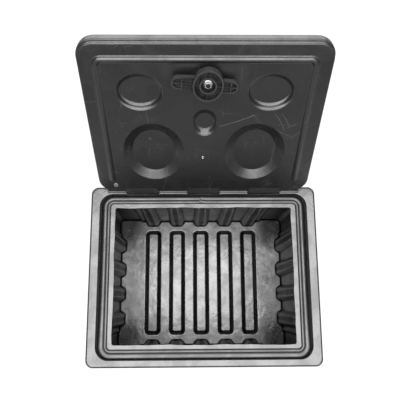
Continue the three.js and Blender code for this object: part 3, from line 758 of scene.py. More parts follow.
class Skin:
    """A surface grown ring by ring: each new ring is extruded from a front and laid on its points."""

    def __init__(self, name: str) -> None:
        """Start an empty skin.

        Args:
            name: The name of the piece that the skin becomes.
        """
        self.name = name
        self.form = bmesh.new()

    def open(self, points: list[Vector]) -> Front:
        """Start a front as a circle laid on the points.

        Args:
            points: The ring's points in order.

        Returns:
            The new front.
        """
        made = bmesh.ops.create_circle(self.form, cap_ends=False, radius=1.0, segments=len(points))
        ring = list(made["verts"])
        edges = list({edge for vert in ring for edge in vert.link_edges})
        return Front(ring, edges).laid(points)

    def grow(self, front: Front, points: list[Vector]) -> Front:
        """Extrude a front and lay the new ring on the points.

        Args:
            front: The front to grow from.
            points: The new ring's points, as many as the front has.

        Returns:
            The new front.
        """
        made = bmesh.ops.extrude_edge_only(self.form, edges=front.edges)["geom"]
        fresh = {item for item in made if isinstance(item, bmesh.types.BMVert)}
        edges = [item for item in made
                 if isinstance(item, bmesh.types.BMEdge) and fresh.issuperset(item.verts)]
        partner = {}
        for vert in fresh:
            for edge in vert.link_edges:
                other = edge.other_vert(vert)
                if other not in fresh:
                    partner[other] = vert
        return Front([partner[vert] for vert in front.ring], edges).laid(points)

    def grow_all(self, front: Front, rings: Iterable[list[Vector]]) -> Front:
        """Grow a front through several rings.

        Args:
            front: The front to grow from.
            rings: The points of each new ring.

        Returns:
            The last front.
        """
        for points in rings:
            front = self.grow(front, points)
        return front

    def fill(self, fronts: list[Front], normal: Triple) -> None:
        """Fill the flat region between an outer front and the fronts inside it.

        Args:
            fronts: The fronts that bound the region, all in one plane.
            normal: The plane's normal.
        """
        edges = [edge for front in fronts for edge in front.edges]
        bmesh.ops.triangle_fill(self.form, use_beauty=True, use_dissolve=False, edges=edges, normal=normal)

    def cap(self, front: Front) -> None:
        """Close a front with one face."""
        bmesh.ops.contextual_create(self.form, geom=front.edges)


@dataclass(frozen=True)
class Kind:
    """What a piece wears, the record's slot that is listed for it, which is kept here but not set on the
    piece, and the body that it rides on.
    """

    finish: Finish
    slot: Slot
    body: Body


def to_mesh(form: bmesh.types.BMesh, name: str) -> bpy.types.Mesh:
    """Turn a bmesh into a mesh and free it.

    Args:
        form: The bmesh.
        name: The mesh's name.

    Returns:
        The mesh.
    """
    mesh = bpy.data.meshes.new(name)
    form.to_mesh(mesh)
    form.free()
    return mesh


def set_out(name: str, data: bpy.types.ID) -> bpy.types.Object:
    """Put a mesh, a light or a camera in the scene.

    Args:
        name: The object's name.
        data: What the object carries.

    Returns:
        The object.
    """
    placed = bpy.data.objects.new(name, data)
    bpy.context.scene.collection.objects.link(placed)
    return placed


@dataclass
class Maker:
    """Turns bmeshes in millimetres into finished pieces that ride on a body."""

    wardrobe: Wardrobe
    merge: float = 0.004
    least_edge: float = 0.003
    bevel_steps: int = 2
    bevel_from: float = 32.0

    def piece(self, name: str, form: bmesh.types.BMesh, kind: Kind, place: Matrix | None = None,
              nodes: tuple[str, ...] = (), smooth: float = 40.0) -> bpy.types.Object:
        """Make a piece.

        Args:
            name: The piece's name.
            form: Its mesh in millimetres, which is freed.
            kind: What it wears and rides on.
            place: The matrix that carries it to its place, in millimetres.
            nodes: The CAD nodes that it stands for.
            smooth: The angle in degrees past which an edge stays sharp.

        Returns:
            The piece.
        """
        bmesh.ops.remove_doubles(form, verts=form.verts, dist=self.merge)
        bmesh.ops.dissolve_degenerate(form, edges=form.edges, dist=self.least_edge)
        bmesh.ops.recalc_face_normals(form, faces=form.faces)
        matrix = Matrix.Scale(MM, 4) @ (place or Matrix.Identity(4))
        bmesh.ops.transform(form, matrix=matrix, verts=form.verts)
        return self.dress(name, to_mesh(form, name), kind, nodes, smooth)

    def dress(self, name: str, mesh: bpy.types.Mesh, kind: Kind, nodes: tuple[str, ...], smooth: float,
              bevel: float = 0.0) -> bpy.types.Object:
        """Set out a mesh in metres as a finished piece.

        Args:
            name: The piece's name.
            mesh: Its mesh in metres.
            kind: What it wears and rides on.
            nodes: The CAD nodes that it stands for.
            smooth: The angle in degrees past which an edge stays sharp.
            bevel: The width of a live bevel in millimetres.

        Returns:
            The piece.
        """
        mesh.materials.clear()
        mesh.materials.append(self.wardrobe.built[kind.finish])
        mesh.shade_smooth()
        mesh.set_sharp_from_angle(angle=math.radians(smooth))
        piece = set_out(name, mesh)
        if bevel:
            rounding = piece.modifiers.new("edges", "BEVEL")
            rounding.width = bevel * MM
            rounding.segments = self.bevel_steps
            rounding.limit_method = "ANGLE"
            rounding.angle_limit = math.radians(self.bevel_from)
        weighted = piece.modifiers.new("flats", "WEIGHTED_NORMAL")
        weighted.keep_sharp = True
        if nodes:
            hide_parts(*nodes)
        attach(piece, kind.body.value)
        LOG.info("%s rides on %s with %d faces", name, kind.body.value, len(mesh.polygons))
        return piece


def rounded(keys: list[Key], radii: Iterable[float], steps: int) -> list[Key]:
    """Round the inner corners of a path of number tuples; the last number is a height.

    Args:
        keys: The path's corners.
        radii: The rounding of each inner corner, where 0 keeps the corner as it is.
        steps: The number of steps in a rounded corner.

    Returns:
        The path with its corners rounded, and the same count for the same radii.
    """
    least_length, sharpest, flattest = 1e-6, 0.05, 1.55
    least_reach_share, most_arm_share = 0.4, 0.46
    path = [tuple(keys[0])]
    for before, corner, after, radius in zip(keys, keys[1:], keys[2:], radii):
        if radius == 0.0:
            path.append(tuple(corner))
            continue
        arms = [[value - start for value, start in zip(end, corner)] for end in (before, after)]
        flat, other = (Vector((arm[0], arm[-1])).normalized() for arm in arms)
        half = max(flat.angle(other, math.pi) / 2, sharpest)
        reach = max(radius / math.tan(half) if half < flattest else 0.0, least_reach_share * radius)
        ends = []
        for arm in arms:
            share = min(reach / max(math.hypot(arm[0], arm[-1]), least_length), most_arm_share)
            ends.append([value + way * share for value, way in zip(corner, arm)])
        for step in range(steps + 1):
            t = step / steps
            path.append(tuple((1 - t) ** 2 * a + 2 * (1 - t) * t * b + t ** 2 * c
                              for a, b, c in zip(ends[0], corner, ends[1])))
    path.append(tuple(keys[-1]))
    return path


def shrink(points: list[Vector], distance: float) -> list[Vector]:
    """Move a ring's points to the inner side by a distance, level by level.

    Args:
        points: The ring's points, counter-clockwise seen from above.
        distance: How far each point moves.

    Returns:
        The moved points.
    """
    moved = []
    for place, point in enumerate(points):
        way = points[(place + 1) % len(points)] - points[place - 1]
        moved.append(point + Vector((-way.y, way.x, 0.0)).normalized() * distance)
    return moved


def corner_points(quarter: int, key: Key, steps: int, centre: Pair = (0.0, 0.0)) -> list[Vector]:
    """Lay out one corner of a rounded rectangle.

    Args:
        quarter: The corner's number, counter-clockwise from the back right one.
        key: Half width, half depth, corner radius and height.
        steps: The steps in the corner.
        centre: The rectangle's centre.

    Returns:
        The corner's points, counter-clockwise seen from above.
    """
    half_x, half_y, radius, height = key
    middle_x = centre[0] + (1 if quarter in (0, 3) else -1) * (half_x - radius)
    middle_y = centre[1] + (1 if quarter < 2 else -1) * (half_y - radius)
    turns = [(quarter + step / steps) * math.pi / 2 for step in range(steps + 1)]
    return [Vector((middle_x + radius * math.cos(turn), middle_y + radius * math.sin(turn), height))
            for turn in turns]


def plain_ring(key: Key, centre: Pair, steps: int) -> list[Vector]:
    """Lay out a rounded rectangle.

    Args:
        key: Half width, half depth, corner radius and height.
        centre: Its centre.
        steps: The steps in each corner.

    Returns:
        The points, counter-clockwise seen from above.
    """
    return [point for quarter in range(4) for point in corner_points(quarter, key, steps, centre)]


def ellipse_ring(key: Key, centre: Pair, steps: int) -> list[Vector]:
    """Lay out an ellipse.

    Args:
        key: Full width, full depth and height.
        centre: Its centre.
        steps: The number of its points.

    Returns:
        The points, counter-clockwise seen from above.
    """
    width, depth, height = key
    turns = [2 * math.pi * step / steps for step in range(steps)]
    return [Vector((centre[0] + width / 2 * math.cos(turn), centre[1] + depth / 2 * math.sin(turn), height))
            for turn in turns]


@dataclass(frozen=True)
class Wave:
    """A sine wave round a full turn."""

    size: float
    count: int
    phase: float = 0.0


def ripple(turn: float, waves: Iterable[Wave]) -> float:
    """Return the sum of the waves at a turn."""
    return sum(wave.size * math.sin(wave.count * turn + wave.phase) for wave in waves)


def round_edges(form: bmesh.types.BMesh, edges: list[bmesh.types.BMEdge], width: float) -> None:
    """Round edges of a mesh in three steps.

    Args:
        form: The mesh.
        edges: Its edges to round.
        width: The width of the rounding.
    """
    bmesh.ops.bevel(form, geom=edges, offset=width, offset_type="OFFSET", affect="EDGES", segments=3,
                    profile=0.5, material=-1)


def add_block(form: bmesh.types.BMesh, sizes: Triple, centre: Triple) -> None:
    """Add a block to a mesh.

    Args:
        form: The mesh.
        sizes: The block's full sizes.
        centre: Its centre.
    """
    block = bmesh.ops.create_cube(form, size=1.0)["verts"]
    bmesh.ops.scale(form, verts=block, vec=sizes)
    bmesh.ops.translate(form, verts=block, vec=centre)


def rod(radius: float, centre: float, half: float, edge: float, sides: int) -> bmesh.types.BMesh:
    """Make a closed rod across the box with rounded ends.

    Args:
        radius: The rod's radius.
        centre: The place of its middle across.
        half: Half its length.
        edge: The rounding of its ends.
        sides: The number of its sides.

    Returns:
        The rod in millimetres.
    """
    form = bmesh.new()
    bmesh.ops.create_cone(form, cap_ends=True, segments=sides, radius1=radius, radius2=radius, depth=2 * half)
    ends = [item for item in form.edges if item.verts[0].co.z * item.verts[1].co.z > 0.0]
    round_edges(form, ends, edge)
    turn = Matrix.Translation((centre, 0.0, 0.0)) @ Matrix.Rotation(math.pi / 2, 4, "Y")
    bmesh.ops.transform(form, matrix=turn, verts=form.verts)
    return form


def station(place: Vector, way: Vector, up: float) -> Matrix:
    """Set up a station of a sweep.

    Args:
        place: The station's place.
        way: The level direction of the sweep there.
        up: 1 where the profile's height points up, and -1 where it points down.

    Returns:
        A matrix whose X is the way out, Y the height and Z the direction of the sweep.
    """
    return Matrix(((way.y * up, 0.0, way.x, place.x), (-way.x * up, 0.0, way.y, place.y),
                   (0.0, up, 0.0, place.z), (0.0, 0.0, 0.0, 1.0)))


def sweep(name: str, stations: list[Matrix], profile: Callable[[int], list[Pair]]) -> Skin:
    """Carry a closed profile along stations and close both ends.

    Args:
        name: The skin's name.
        stations: A matrix for each station.
        profile: Gives the profile's points at a station's number.

    Returns:
        The closed skin.
    """
    skin = Skin(name)
    rings = [[place @ Vector((out, high, 0.0)) for out, high in profile(number)]
             for number, place in enumerate(stations)]
    first = skin.open(rings[0])
    last = skin.grow_all(first, rings[1:])
    skin.cap(first)
    skin.cap(last)
    return skin


@dataclass(frozen=True)
class Ribs:
    """The rows of ribs pressed into the four walls, each on a shallow panel."""

    pitch: float = 78.0
    across: int = 5
    deep: int = 4
    depth: float = 20.0
    top_depth: float = 17.0
    half: float = 24.0
    top_half: float = 17.5
    flank: float = 8.5
    foot: float = 9.0
    top_foot: float = 3.5
    crest: float = 13.0
    top_crest: float = 4.0
    foot_lip: float = 11.0
    lip: float = 3.6
    groove: float = 1.4
    tail: float = 9.5
    low: float = -2.0
    fade: float = 385.0
    top: float = 405.0
    foot_shares: float = 3.0
    row_depth: float = 5.0
    row_margin: float = 12.5
    row_slope: float = 5.0
    row_fade: float = 406.0
    row_top: float = 414.0
    row_radii: Pair = (3.0, 8.0)
    notch_gap: float = 0.4
    rib_steps: int = 4
    row_steps: int = 3

    @staticmethod
    def _left(height: float, fade: float, top: float) -> float:
        """Return how much of a pressed form is left at a height where it eases into the wall."""
        gone = min(max((height - fade) / (top - fade), 0.0), 1.0)
        return (1 + math.cos(math.pi * gone)) / 2

    def base(self, height: float) -> float:
        """Return the depth of a row's panel at a height."""
        return self.row_depth * self._left(height, self.row_fade, self.row_top)

    def section(self, height: float, skin: float) -> list[Key]:
        """Draw a rib's plan section.

        Args:
            height: The height of the section.
            skin: How much narrower each side is than on the inner face.

        Returns:
            Pairs of the place along the wall and the depth inwards.
        """
        share = (min(max(height, self.low), self.fade) - self.low) / (self.fade - self.low)
        foot = self.half + (self.top_half - self.half) * share - skin
        rise = self.depth + (self.top_depth - self.depth) * share - self.row_depth
        left = self._left(height, self.fade, self.top)
        base = self.base(height)
        crest = base + rise * left
        half = foot - self.flank
        risen = min(self.foot_shares * share, 1.0)
        lip = half - self.foot_lip - (self.lip - self.foot_lip) * risen
        bed = crest - self.groove * risen * left if skin == 0.0 else crest
        keys = [(-foot - self.tail, base), (-foot, base), (-half, crest), (-lip, crest),
                (-lip + self.groove, bed), (0.0, bed), (lip - self.groove, bed),
                (lip, crest), (half, crest), (foot, base), (foot + self.tail, base)]
        bend = self.crest + (self.top_crest - self.crest) * risen
        root = self.foot + (self.top_foot - self.foot) * risen
        return rounded(keys, [root, bend, 0.0, 0.0, 0.0, 0.0, 0.0, bend, root], self.rib_steps)

    def row_end(self, count: int, height: float, skin: float) -> list[Key]:
        """Draw the step at one end of a row's panel.

        Args:
            count: The number of ribs in the row.
            height: The height of the section.
            skin: How much narrower the panel is than on the inner face.

        Returns:
            Pairs of the place along the wall and the depth inwards.
        """
        base = self.base(height)
        edge = (count - 1) / 2 * self.pitch + self.half + self.row_margin - skin
        keys = [(edge - self.tail / 2, base), (edge, base), (edge + self.row_slope, 0.0),
                (edge + self.row_slope + self.tail / 2, 0.0)]
        return rounded(keys, self.row_radii, self.row_steps)

    def side(self, count: int, height: float, skin: float, notches: Key, reach: float) -> list[Key]:
        """Lay out the stations of one wall.

        Args:
            count: The number of ribs on it.
            height: The height of the section.
            skin: How much narrower each side of a rib is.
            notches: Places of the notch edges, where stations stand close together.
            reach: The place of the first and the last station.

        Returns:
            Pairs of the place along the wall and the depth inwards, in order.
        """
        stations = [(-reach, 0.0), (reach, 0.0)]
        for along, depth in self.row_end(count, height, skin):
            stations += [(along, depth), (-along, depth)]
        for number in range(count):
            centre = (number - (count - 1) / 2) * self.pitch
            stations += [(centre + along, depth) for along, depth in self.section(height, skin)]
        base = self.base(height)
        for notch in notches:
            stations += [(notch - self.notch_gap, base), (notch + self.notch_gap, base)]
        return sorted(stations)


@dataclass(frozen=True)
class Outline:
    """A rounded rectangle about the box's axis."""

    half_x: float
    half_y: float
    radius: float
    least_radius: float = 3.0

    def key(self, height: float, inset: float = 0.0) -> Key:
        """Return the outline, drawn in by an inset, as numbers that end in a height."""
        radius = max(self.radius - inset, self.least_radius)
        return (self.half_x - inset, self.half_y - inset, radius, height)


@dataclass
class BoxShell:
    """The ribbed body: outer wall, flange, channel, cut opening, inner wall and channelled floor."""

    # Outlines from outside to inside
    wall: Outline = Outline(271.0, 209.0, 20.0)
    inner_wall: Outline = Outline(266.0, 204.0, 15.0)
    flange: Outline = Outline(275.0, 213.0, 17.0)
    channel: Outline = Outline(253.0, 196.0, 31.0)
    band: Outline = Outline(228.0, 173.0, 8.0)
    opening: Outline = Outline(216.5, 163.0, 5.0)
    # Heights from the underside up
    bottom: float = 9.0
    floor: float = 14.0
    wall_levels: tuple[float, ...] = (40.0, 80.0, 200.0)
    flange_low: float = 420.0
    rim_low: float = 431.0
    groove_floor: float = 432.6
    band_low: float = 435.0
    channel_floor: float = 436.0
    groove_rise: float = 438.6
    band_top: float = 440.0
    top: float = 450.0
    # How far the section's other corners lie inside or, below zero, outside an outline
    bottom_inset: float = 10.0
    groove_inset: float = 0.3
    groove_rise_inset: float = -15.6
    groove_edge_inset: float = -14.0
    under_growth: float = 2.5
    under_inset: float = 8.0
    inner_inset: float = 7.0
    # Roundings of the section's corners, of the rim from the wall over the flange and back under it
    bottom_radius: float = 7.0
    rim_radii: tuple[float, ...] = (3.0, 3.0, 5.0, 1.8, 0.6, 0.8, 0.5, 1.0, 1.3, 0.5, 0.4, 1.0, 1.0)
    inner_radius: float = 5.0
    # Ribs, the steps of round stretches and the angle past which edges stay sharp
    ribs: Ribs = Ribs()
    rib_skin: float = 4.0
    rib_slack: float = 0.5
    reach: Pair = (206.0, 165.0)
    corner_steps: int = 10
    section_steps: int = 4
    fade_steps: int = 6
    row_fade_steps: int = 4
    smooth: float = 50.0
    # Notches for the knuckles and the knife-cut edge of the opening
    notch_half: float = 40.0
    notch_floor: float = 439.5
    notch_front: float = 193.9
    cut_wave: float = 0.7
    cut_reach: float = 3.0
    cut_waves: tuple[Wave, ...] = (Wave(1.0, 7, 0.6), Wave(0.6, 17, 2.0), Wave(0.4, 41))
    # The floor's edge as pairs of inset and rise, and its channels
    floor_edge: float = 6.0
    floor_slope: tuple[Pair, ...] = ((0.2, 4.6), (0.8, 3.4), (2.8, 0.9), (3.4, 0.2), (4.1, 0.0), (5.2, 0.0))
    feet: int = 5
    foot_mouth: Triple = (26.0, 167.5, 14.0)
    foot_bed: Triple = (13.5, 155.0, 4.0)
    foot_drop: float = 9.0
    foot_skin: float = 3.0
    foot_lip: float = 3.0
    bed_lip: float = 4.0
    bed_least_radius: float = 1.0
    foot_radii: Pair = (4.0, 4.0)
    foot_steps: int = 5
    foot_corner_steps: int = 6
    # Housings of the hinge pin
    housing_reach: float = 235.0
    housing_half: float = 3.2
    housing_shift: float = -0.8
    housing_height: float = 9.0
    housing_cover: float = 4.2
    housing_edge: float = 2.6

    def build(self, maker: Maker) -> None:
        """Build the body and its pin housings.

        Args:
            maker: Makes the pieces.
        """
        skin = Skin("body_skin")
        outside = self._outside_keys()
        first = skin.open(self._ring(outside[0], True))
        last = skin.grow_all(first, (self._ring(key, True) for key in outside[1:]))
        last = skin.grow_all(last, (self._ring(key, False) for key in self._inside_keys()))
        last = skin.grow_all(last, self._floor_rings())
        beds = [self._foot(skin, number, self.floor, self.floor - self.foot_drop, 0.0)
                for number in range(self.feet)]
        skin.fill([last, *beds], (0.0, 0.0, 1.0))
        feet = [self._foot(skin, number, self.bottom, 0.0, self.foot_skin) for number in range(self.feet)]
        skin.fill([first, *feet], (0.0, 0.0, -1.0))
        kind = Kind(Finish.BOX, Slot.SHELL, Body.BASE)
        maker.piece(skin.name, skin.form, kind, nodes=("box_body",), smooth=self.smooth)
        self._pin_housings(maker)

    def _outside_keys(self) -> list[Key]:
        """Draw the section from the underside up the outer wall, over the rim and under the cut edge.

        Returns:
            The keys of the rings.
        """
        levels = self._levels()
        under = replace(self.band, half_x=self.band.half_x + self.under_growth,
                        half_y=self.band.half_y + self.under_growth)
        keys = [
            self.wall.key(self.bottom, self.bottom_inset), self.wall.key(self.bottom),
            *(self.wall.key(level) for level in levels),
            self.wall.key(self.flange_low), self.flange.key(self.flange_low), self.flange.key(self.top),
            self.channel.key(self.top), self.channel.key(self.groove_floor, self.groove_inset),
            self.band.key(self.groove_rise, self.groove_rise_inset),
            self.band.key(self.channel_floor, self.groove_edge_inset),
            self.band.key(self.channel_floor), self.band.key(self.band_top),
            self.opening.key(self.band_top), self.opening.key(self.band_low),
            under.key(self.band_low), under.key(self.rim_low),
            self.inner_wall.key(self.rim_low, self.under_inset),
        ]
        radii = [self.bottom_radius, *(0.0 for _ in levels), *self.rim_radii]
        return rounded(keys, radii, self.section_steps)

    def _inside_keys(self) -> list[Key]:
        """Draw the section from under the rim down the inner wall.

        Returns:
            The keys of the rings.
        """
        levels = [*reversed(self._levels()), self.floor + self.floor_edge]
        keys = [self.inner_wall.key(self.rim_low, self.inner_inset), self.inner_wall.key(self.rim_low),
                *(self.inner_wall.key(level) for level in levels)]
        return rounded(keys, [self.inner_radius, *(0.0 for _ in levels[1:])], self.section_steps)

    def _levels(self) -> list[float]:
        """List the levels of the wall, which stand close together where the ribs fade into it.

        Returns:
            The heights from the lowest up.
        """
        levels = list(self.wall_levels)
        for low, high, steps in ((self.ribs.fade, self.ribs.top, self.fade_steps),
                                 (self.ribs.row_fade, self.ribs.row_top, self.row_fade_steps)):
            levels += [low + (high - low) * step / steps for step in range(steps + 1)]
        return levels

    def _notch_edges(self) -> Key:
        """Return the places across of the notches' edges, from the left."""
        return tuple(centre + side * self.notch_half for centre in KNUCKLES for side in (-1, 1))

    def _ring(self, key: Key, outside: bool) -> list[Vector]:
        """Lay out one ring of the body.

        Args:
            key: Half width, half depth, corner radius and height.
            outside: Whether it belongs to the outer face, whose ribs are narrower.

        Returns:
            The ring's points.
        """
        half_x, half_y, radius, height = key
        draw = (self.wall if outside else self.inner_wall).half_y - half_y
        ribbed = height < self.ribs.row_top and draw > -self.rib_slack
        skin = self.rib_skin if outside else 0.0
        across = self.ribs.side(self.ribs.across, height, skin, self._notch_edges(), self.reach[0])
        squeeze = min(1.0, (half_y - radius) / self.reach[1])
        deep = [(along * squeeze, depth)
                for along, depth in self.ribs.side(self.ribs.deep, height, skin, (), self.reach[1])]
        points = []
        for quarter, (stations, half) in enumerate(((deep, half_x), (across, half_y)) * 2):
            turn = quarter * math.pi / 2
            way = Vector((-math.sin(turn), math.cos(turn), 0.0))
            inward = Vector((-math.cos(turn), -math.sin(turn), 0.0))
            for along, depth in stations:
                deeper = max(depth - draw, 0.0) if ribbed else 0.0
                spot = way * along - inward * (half - deeper)
                points.append(Vector((spot.x, spot.y, height)))
            points += corner_points(quarter, key, self.corner_steps)
        if outside:
            self._cut(points, key)
        return points

    def _cut(self, points: list[Vector], key: Key) -> None:
        """Sink the knuckle notches and let the knife-cut edge of the opening wander.

        Args:
            points: The ring's points, which are moved.
            key: Half width, half depth, corner radius and height.
        """
        near_opening = abs(key[1] - self.opening.half_y) < self.cut_reach
        for point in points:
            if point.y > self.notch_front and point.z > self.notch_floor:
                if any(abs(point.x - centre) < self.notch_half for centre in KNUCKLES):
                    point.z = self.notch_floor
            if near_opening:
                wander = self.cut_wave * ripple(math.atan2(point.y, point.x), self.cut_waves)
                point.x += wander * (1 if point.x > 0 else -1)
                point.y += wander * (1 if point.y > 0 else -1)

    def _floor_rings(self) -> list[list[Vector]]:
        """Lay out the narrow slope that follows the ribs into the floor.

        Returns:
            The rings from the wall inwards.
        """
        edge = self._ring(self.inner_wall.key(self.floor), False)
        rings = []
        for inset, rise in self.floor_slope:
            ring = shrink(edge, inset)
            for point in ring:
                point.z = self.floor + rise
            rings.append(ring)
        return rings

    def _foot(self, skin: Skin, number: int, mouth: float, bed: float, grow: float) -> Front:
        """Grow one floor channel, or the foot that it makes on the underside.

        Args:
            skin: The body's skin.
            number: The channel's number from the left.
            mouth: The height of its mouth.
            bed: The height of its bed.
            grow: How much wider the foot is than the channel.

        Returns:
            The front at its mouth.
        """
        centre = ((number - (self.feet - 1) / 2) * self.ribs.pitch, 0.0)
        wide = [size + grow for size in self.foot_mouth]
        narrow = [size + grow for size in self.foot_bed]
        inner = [size - self.bed_lip for size in narrow]
        keys = [(*(size + self.foot_lip for size in wide), mouth), (*wide, mouth), (*narrow, bed),
                (*inner[:2], max(inner[2], self.bed_least_radius), bed)]
        path = rounded(keys, self.foot_radii, self.foot_steps)
        first = skin.open(plain_ring(path[0], centre, self.foot_corner_steps))
        last = skin.grow_all(first, (plain_ring(key, centre, self.foot_corner_steps) for key in path[1:]))
        skin.fill([last], (0.0, 0.0, 1.0))
        return first

    def _pin_housings(self, maker: Maker) -> None:
        """Lay the four ridges that carry the pin beside and between the knuckles.

        Args:
            maker: Makes the pieces.
        """
        lid = LidFrame()
        places = [-self.housing_reach, *self._notch_edges(), self.housing_reach]
        deep = lid.hinge_y + self.housing_shift
        up = lid.hinge_z + self.housing_cover - self.housing_height / 2
        kind = Kind(Finish.MOULDED, Slot.SHELL, Body.BASE)
        for number, (left, right) in enumerate(zip(places[::2], places[1::2])):
            form = bmesh.new()
            add_block(form, (right - left, 2 * self.housing_half, self.housing_height),
                      ((left + right) / 2, deep, up))
            round_edges(form, list(form.edges), self.housing_edge)
            maker.piece(f"pin_housing_{number}", form, kind)


@dataclass
class RimSeal:
    """The two-lobed rubber strip in the rim's channel, butted at the back."""

    centre: Outline = Outline(235.75, 180.75, 15.75)
    low: float = 436.3
    high: float = 444.4
    crown_drop: float = 0.25
    half: float = 7.6
    crown_share: float = 0.55
    swell: float = 1.6
    front_swell: float = 3.4
    sags: tuple[Wave, ...] = (Wave(0.12, 9), Wave(0.1, 23, 1.0))
    leans: tuple[Wave, ...] = (Wave(0.16, 5, 2.0),)
    joint: float = 1.3
    joint_place: float = -8.0
    joint_slip: float = 1.4
    spacing: float = 9.0
    corner_steps: int = 12
    lobe_steps: int = 8
    smooth: float = 60.0

    def build(self, maker: Maker) -> None:
        """Build the strip.

        Args:
            maker: Makes the piece.
        """
        stations = self._stations()
        skin = sweep("seal_strip", stations, lambda number: self._profile(number, stations))
        kind = Kind(Finish.RUBBER, Slot.RUBBER, Body.BASE)
        maker.piece(skin.name, skin.form, kind, nodes=("rim_seal",), smooth=self.smooth)

    def _places(self) -> list[Vector]:
        """Lay out the strip's centre line round the channel, from one side of the joint to the other.

        Returns:
            The points of the centre line, without a height.
        """
        ring = plain_ring(self.centre.key(0.0), (0.0, 0.0), self.corner_steps)
        places = []
        for number, point in enumerate(ring):
            after = ring[(number + 1) % len(ring)]
            count = max(1, round((after - point).length / self.spacing))
            places += [point.lerp(after, step / count) for step in range(count)]
        back = min((number for number, place in enumerate(places) if place.y > 0),
                   key=lambda number: abs(places[number].x - self.joint_place))
        places = places[back:] + places[:back]
        places[0] = Vector((self.joint_place - self.joint, self.centre.half_y, 0.0))
        places.append(Vector((self.joint_place + self.joint, self.centre.half_y + self.joint_slip, 0.0)))
        return places

    def _stations(self) -> list[Matrix]:
        """Set up the stations along the centre line.

        Returns:
            A matrix for each station.
        """
        places = self._places()
        befores = [places[0], *places[:-1]]
        afters = [*places[1:], places[-1]]
        return [station(place, (after - before).normalized(), 1.0)
                for before, place, after in zip(befores, places, afters)]

    def _profile(self, number: int, stations: list[Matrix]) -> list[Pair]:
        """Draw the section of two soft lobes, a little uneven along the strip and widest at the front.

        Args:
            number: The station's number.
            stations: Every station of the strip.

        Returns:
            The points across the strip and up.
        """
        way_round = 2 * math.pi * number / len(stations)
        front = min(max(-stations[number].translation.y / self.centre.half_y, 0.0), 1.0)
        outer = self.half + self.swell + self.front_swell * front ** 2
        sag, lean = ripple(way_round, self.sags), ripple(way_round, self.leans)
        height = self.high - self.low - self.crown_drop
        points = [(outer, self.low)]
        for lobe, reach, start in ((1, outer, 0), (-1, self.half, 1)):
            for step in range(start, self.lobe_steps + 1):
                turn = step / self.lobe_steps * math.pi
                out = reach / 2 * (lobe + math.cos(turn))
                up = self.low + height * (self.crown_share + (1 - self.crown_share) * math.sin(turn))
                points.append((out + lean * math.sin(turn), up + sag * math.sin(turn)))
        points.append((-self.half, self.low))
        return points


@dataclass(frozen=True)
class Recess:
    """One dished recess of the lid's inner face: its place, full widths and depth.

    Its wall is steeper in the middle. Between ease_share of the way in plan from each end it falls from
    ease_drop under the face to ease_drop over the bed.
    """

    across: float
    along: float
    mouth: Pair
    bed: Pair
    depth: float = 9.0
    ease_share: float = 0.36
    ease_drop: float = 1.7


@dataclass(frozen=True)
class Hole:
    """One small round hole of the lid's inner face."""

    across: float
    along: float
    radius: float
    depth: float


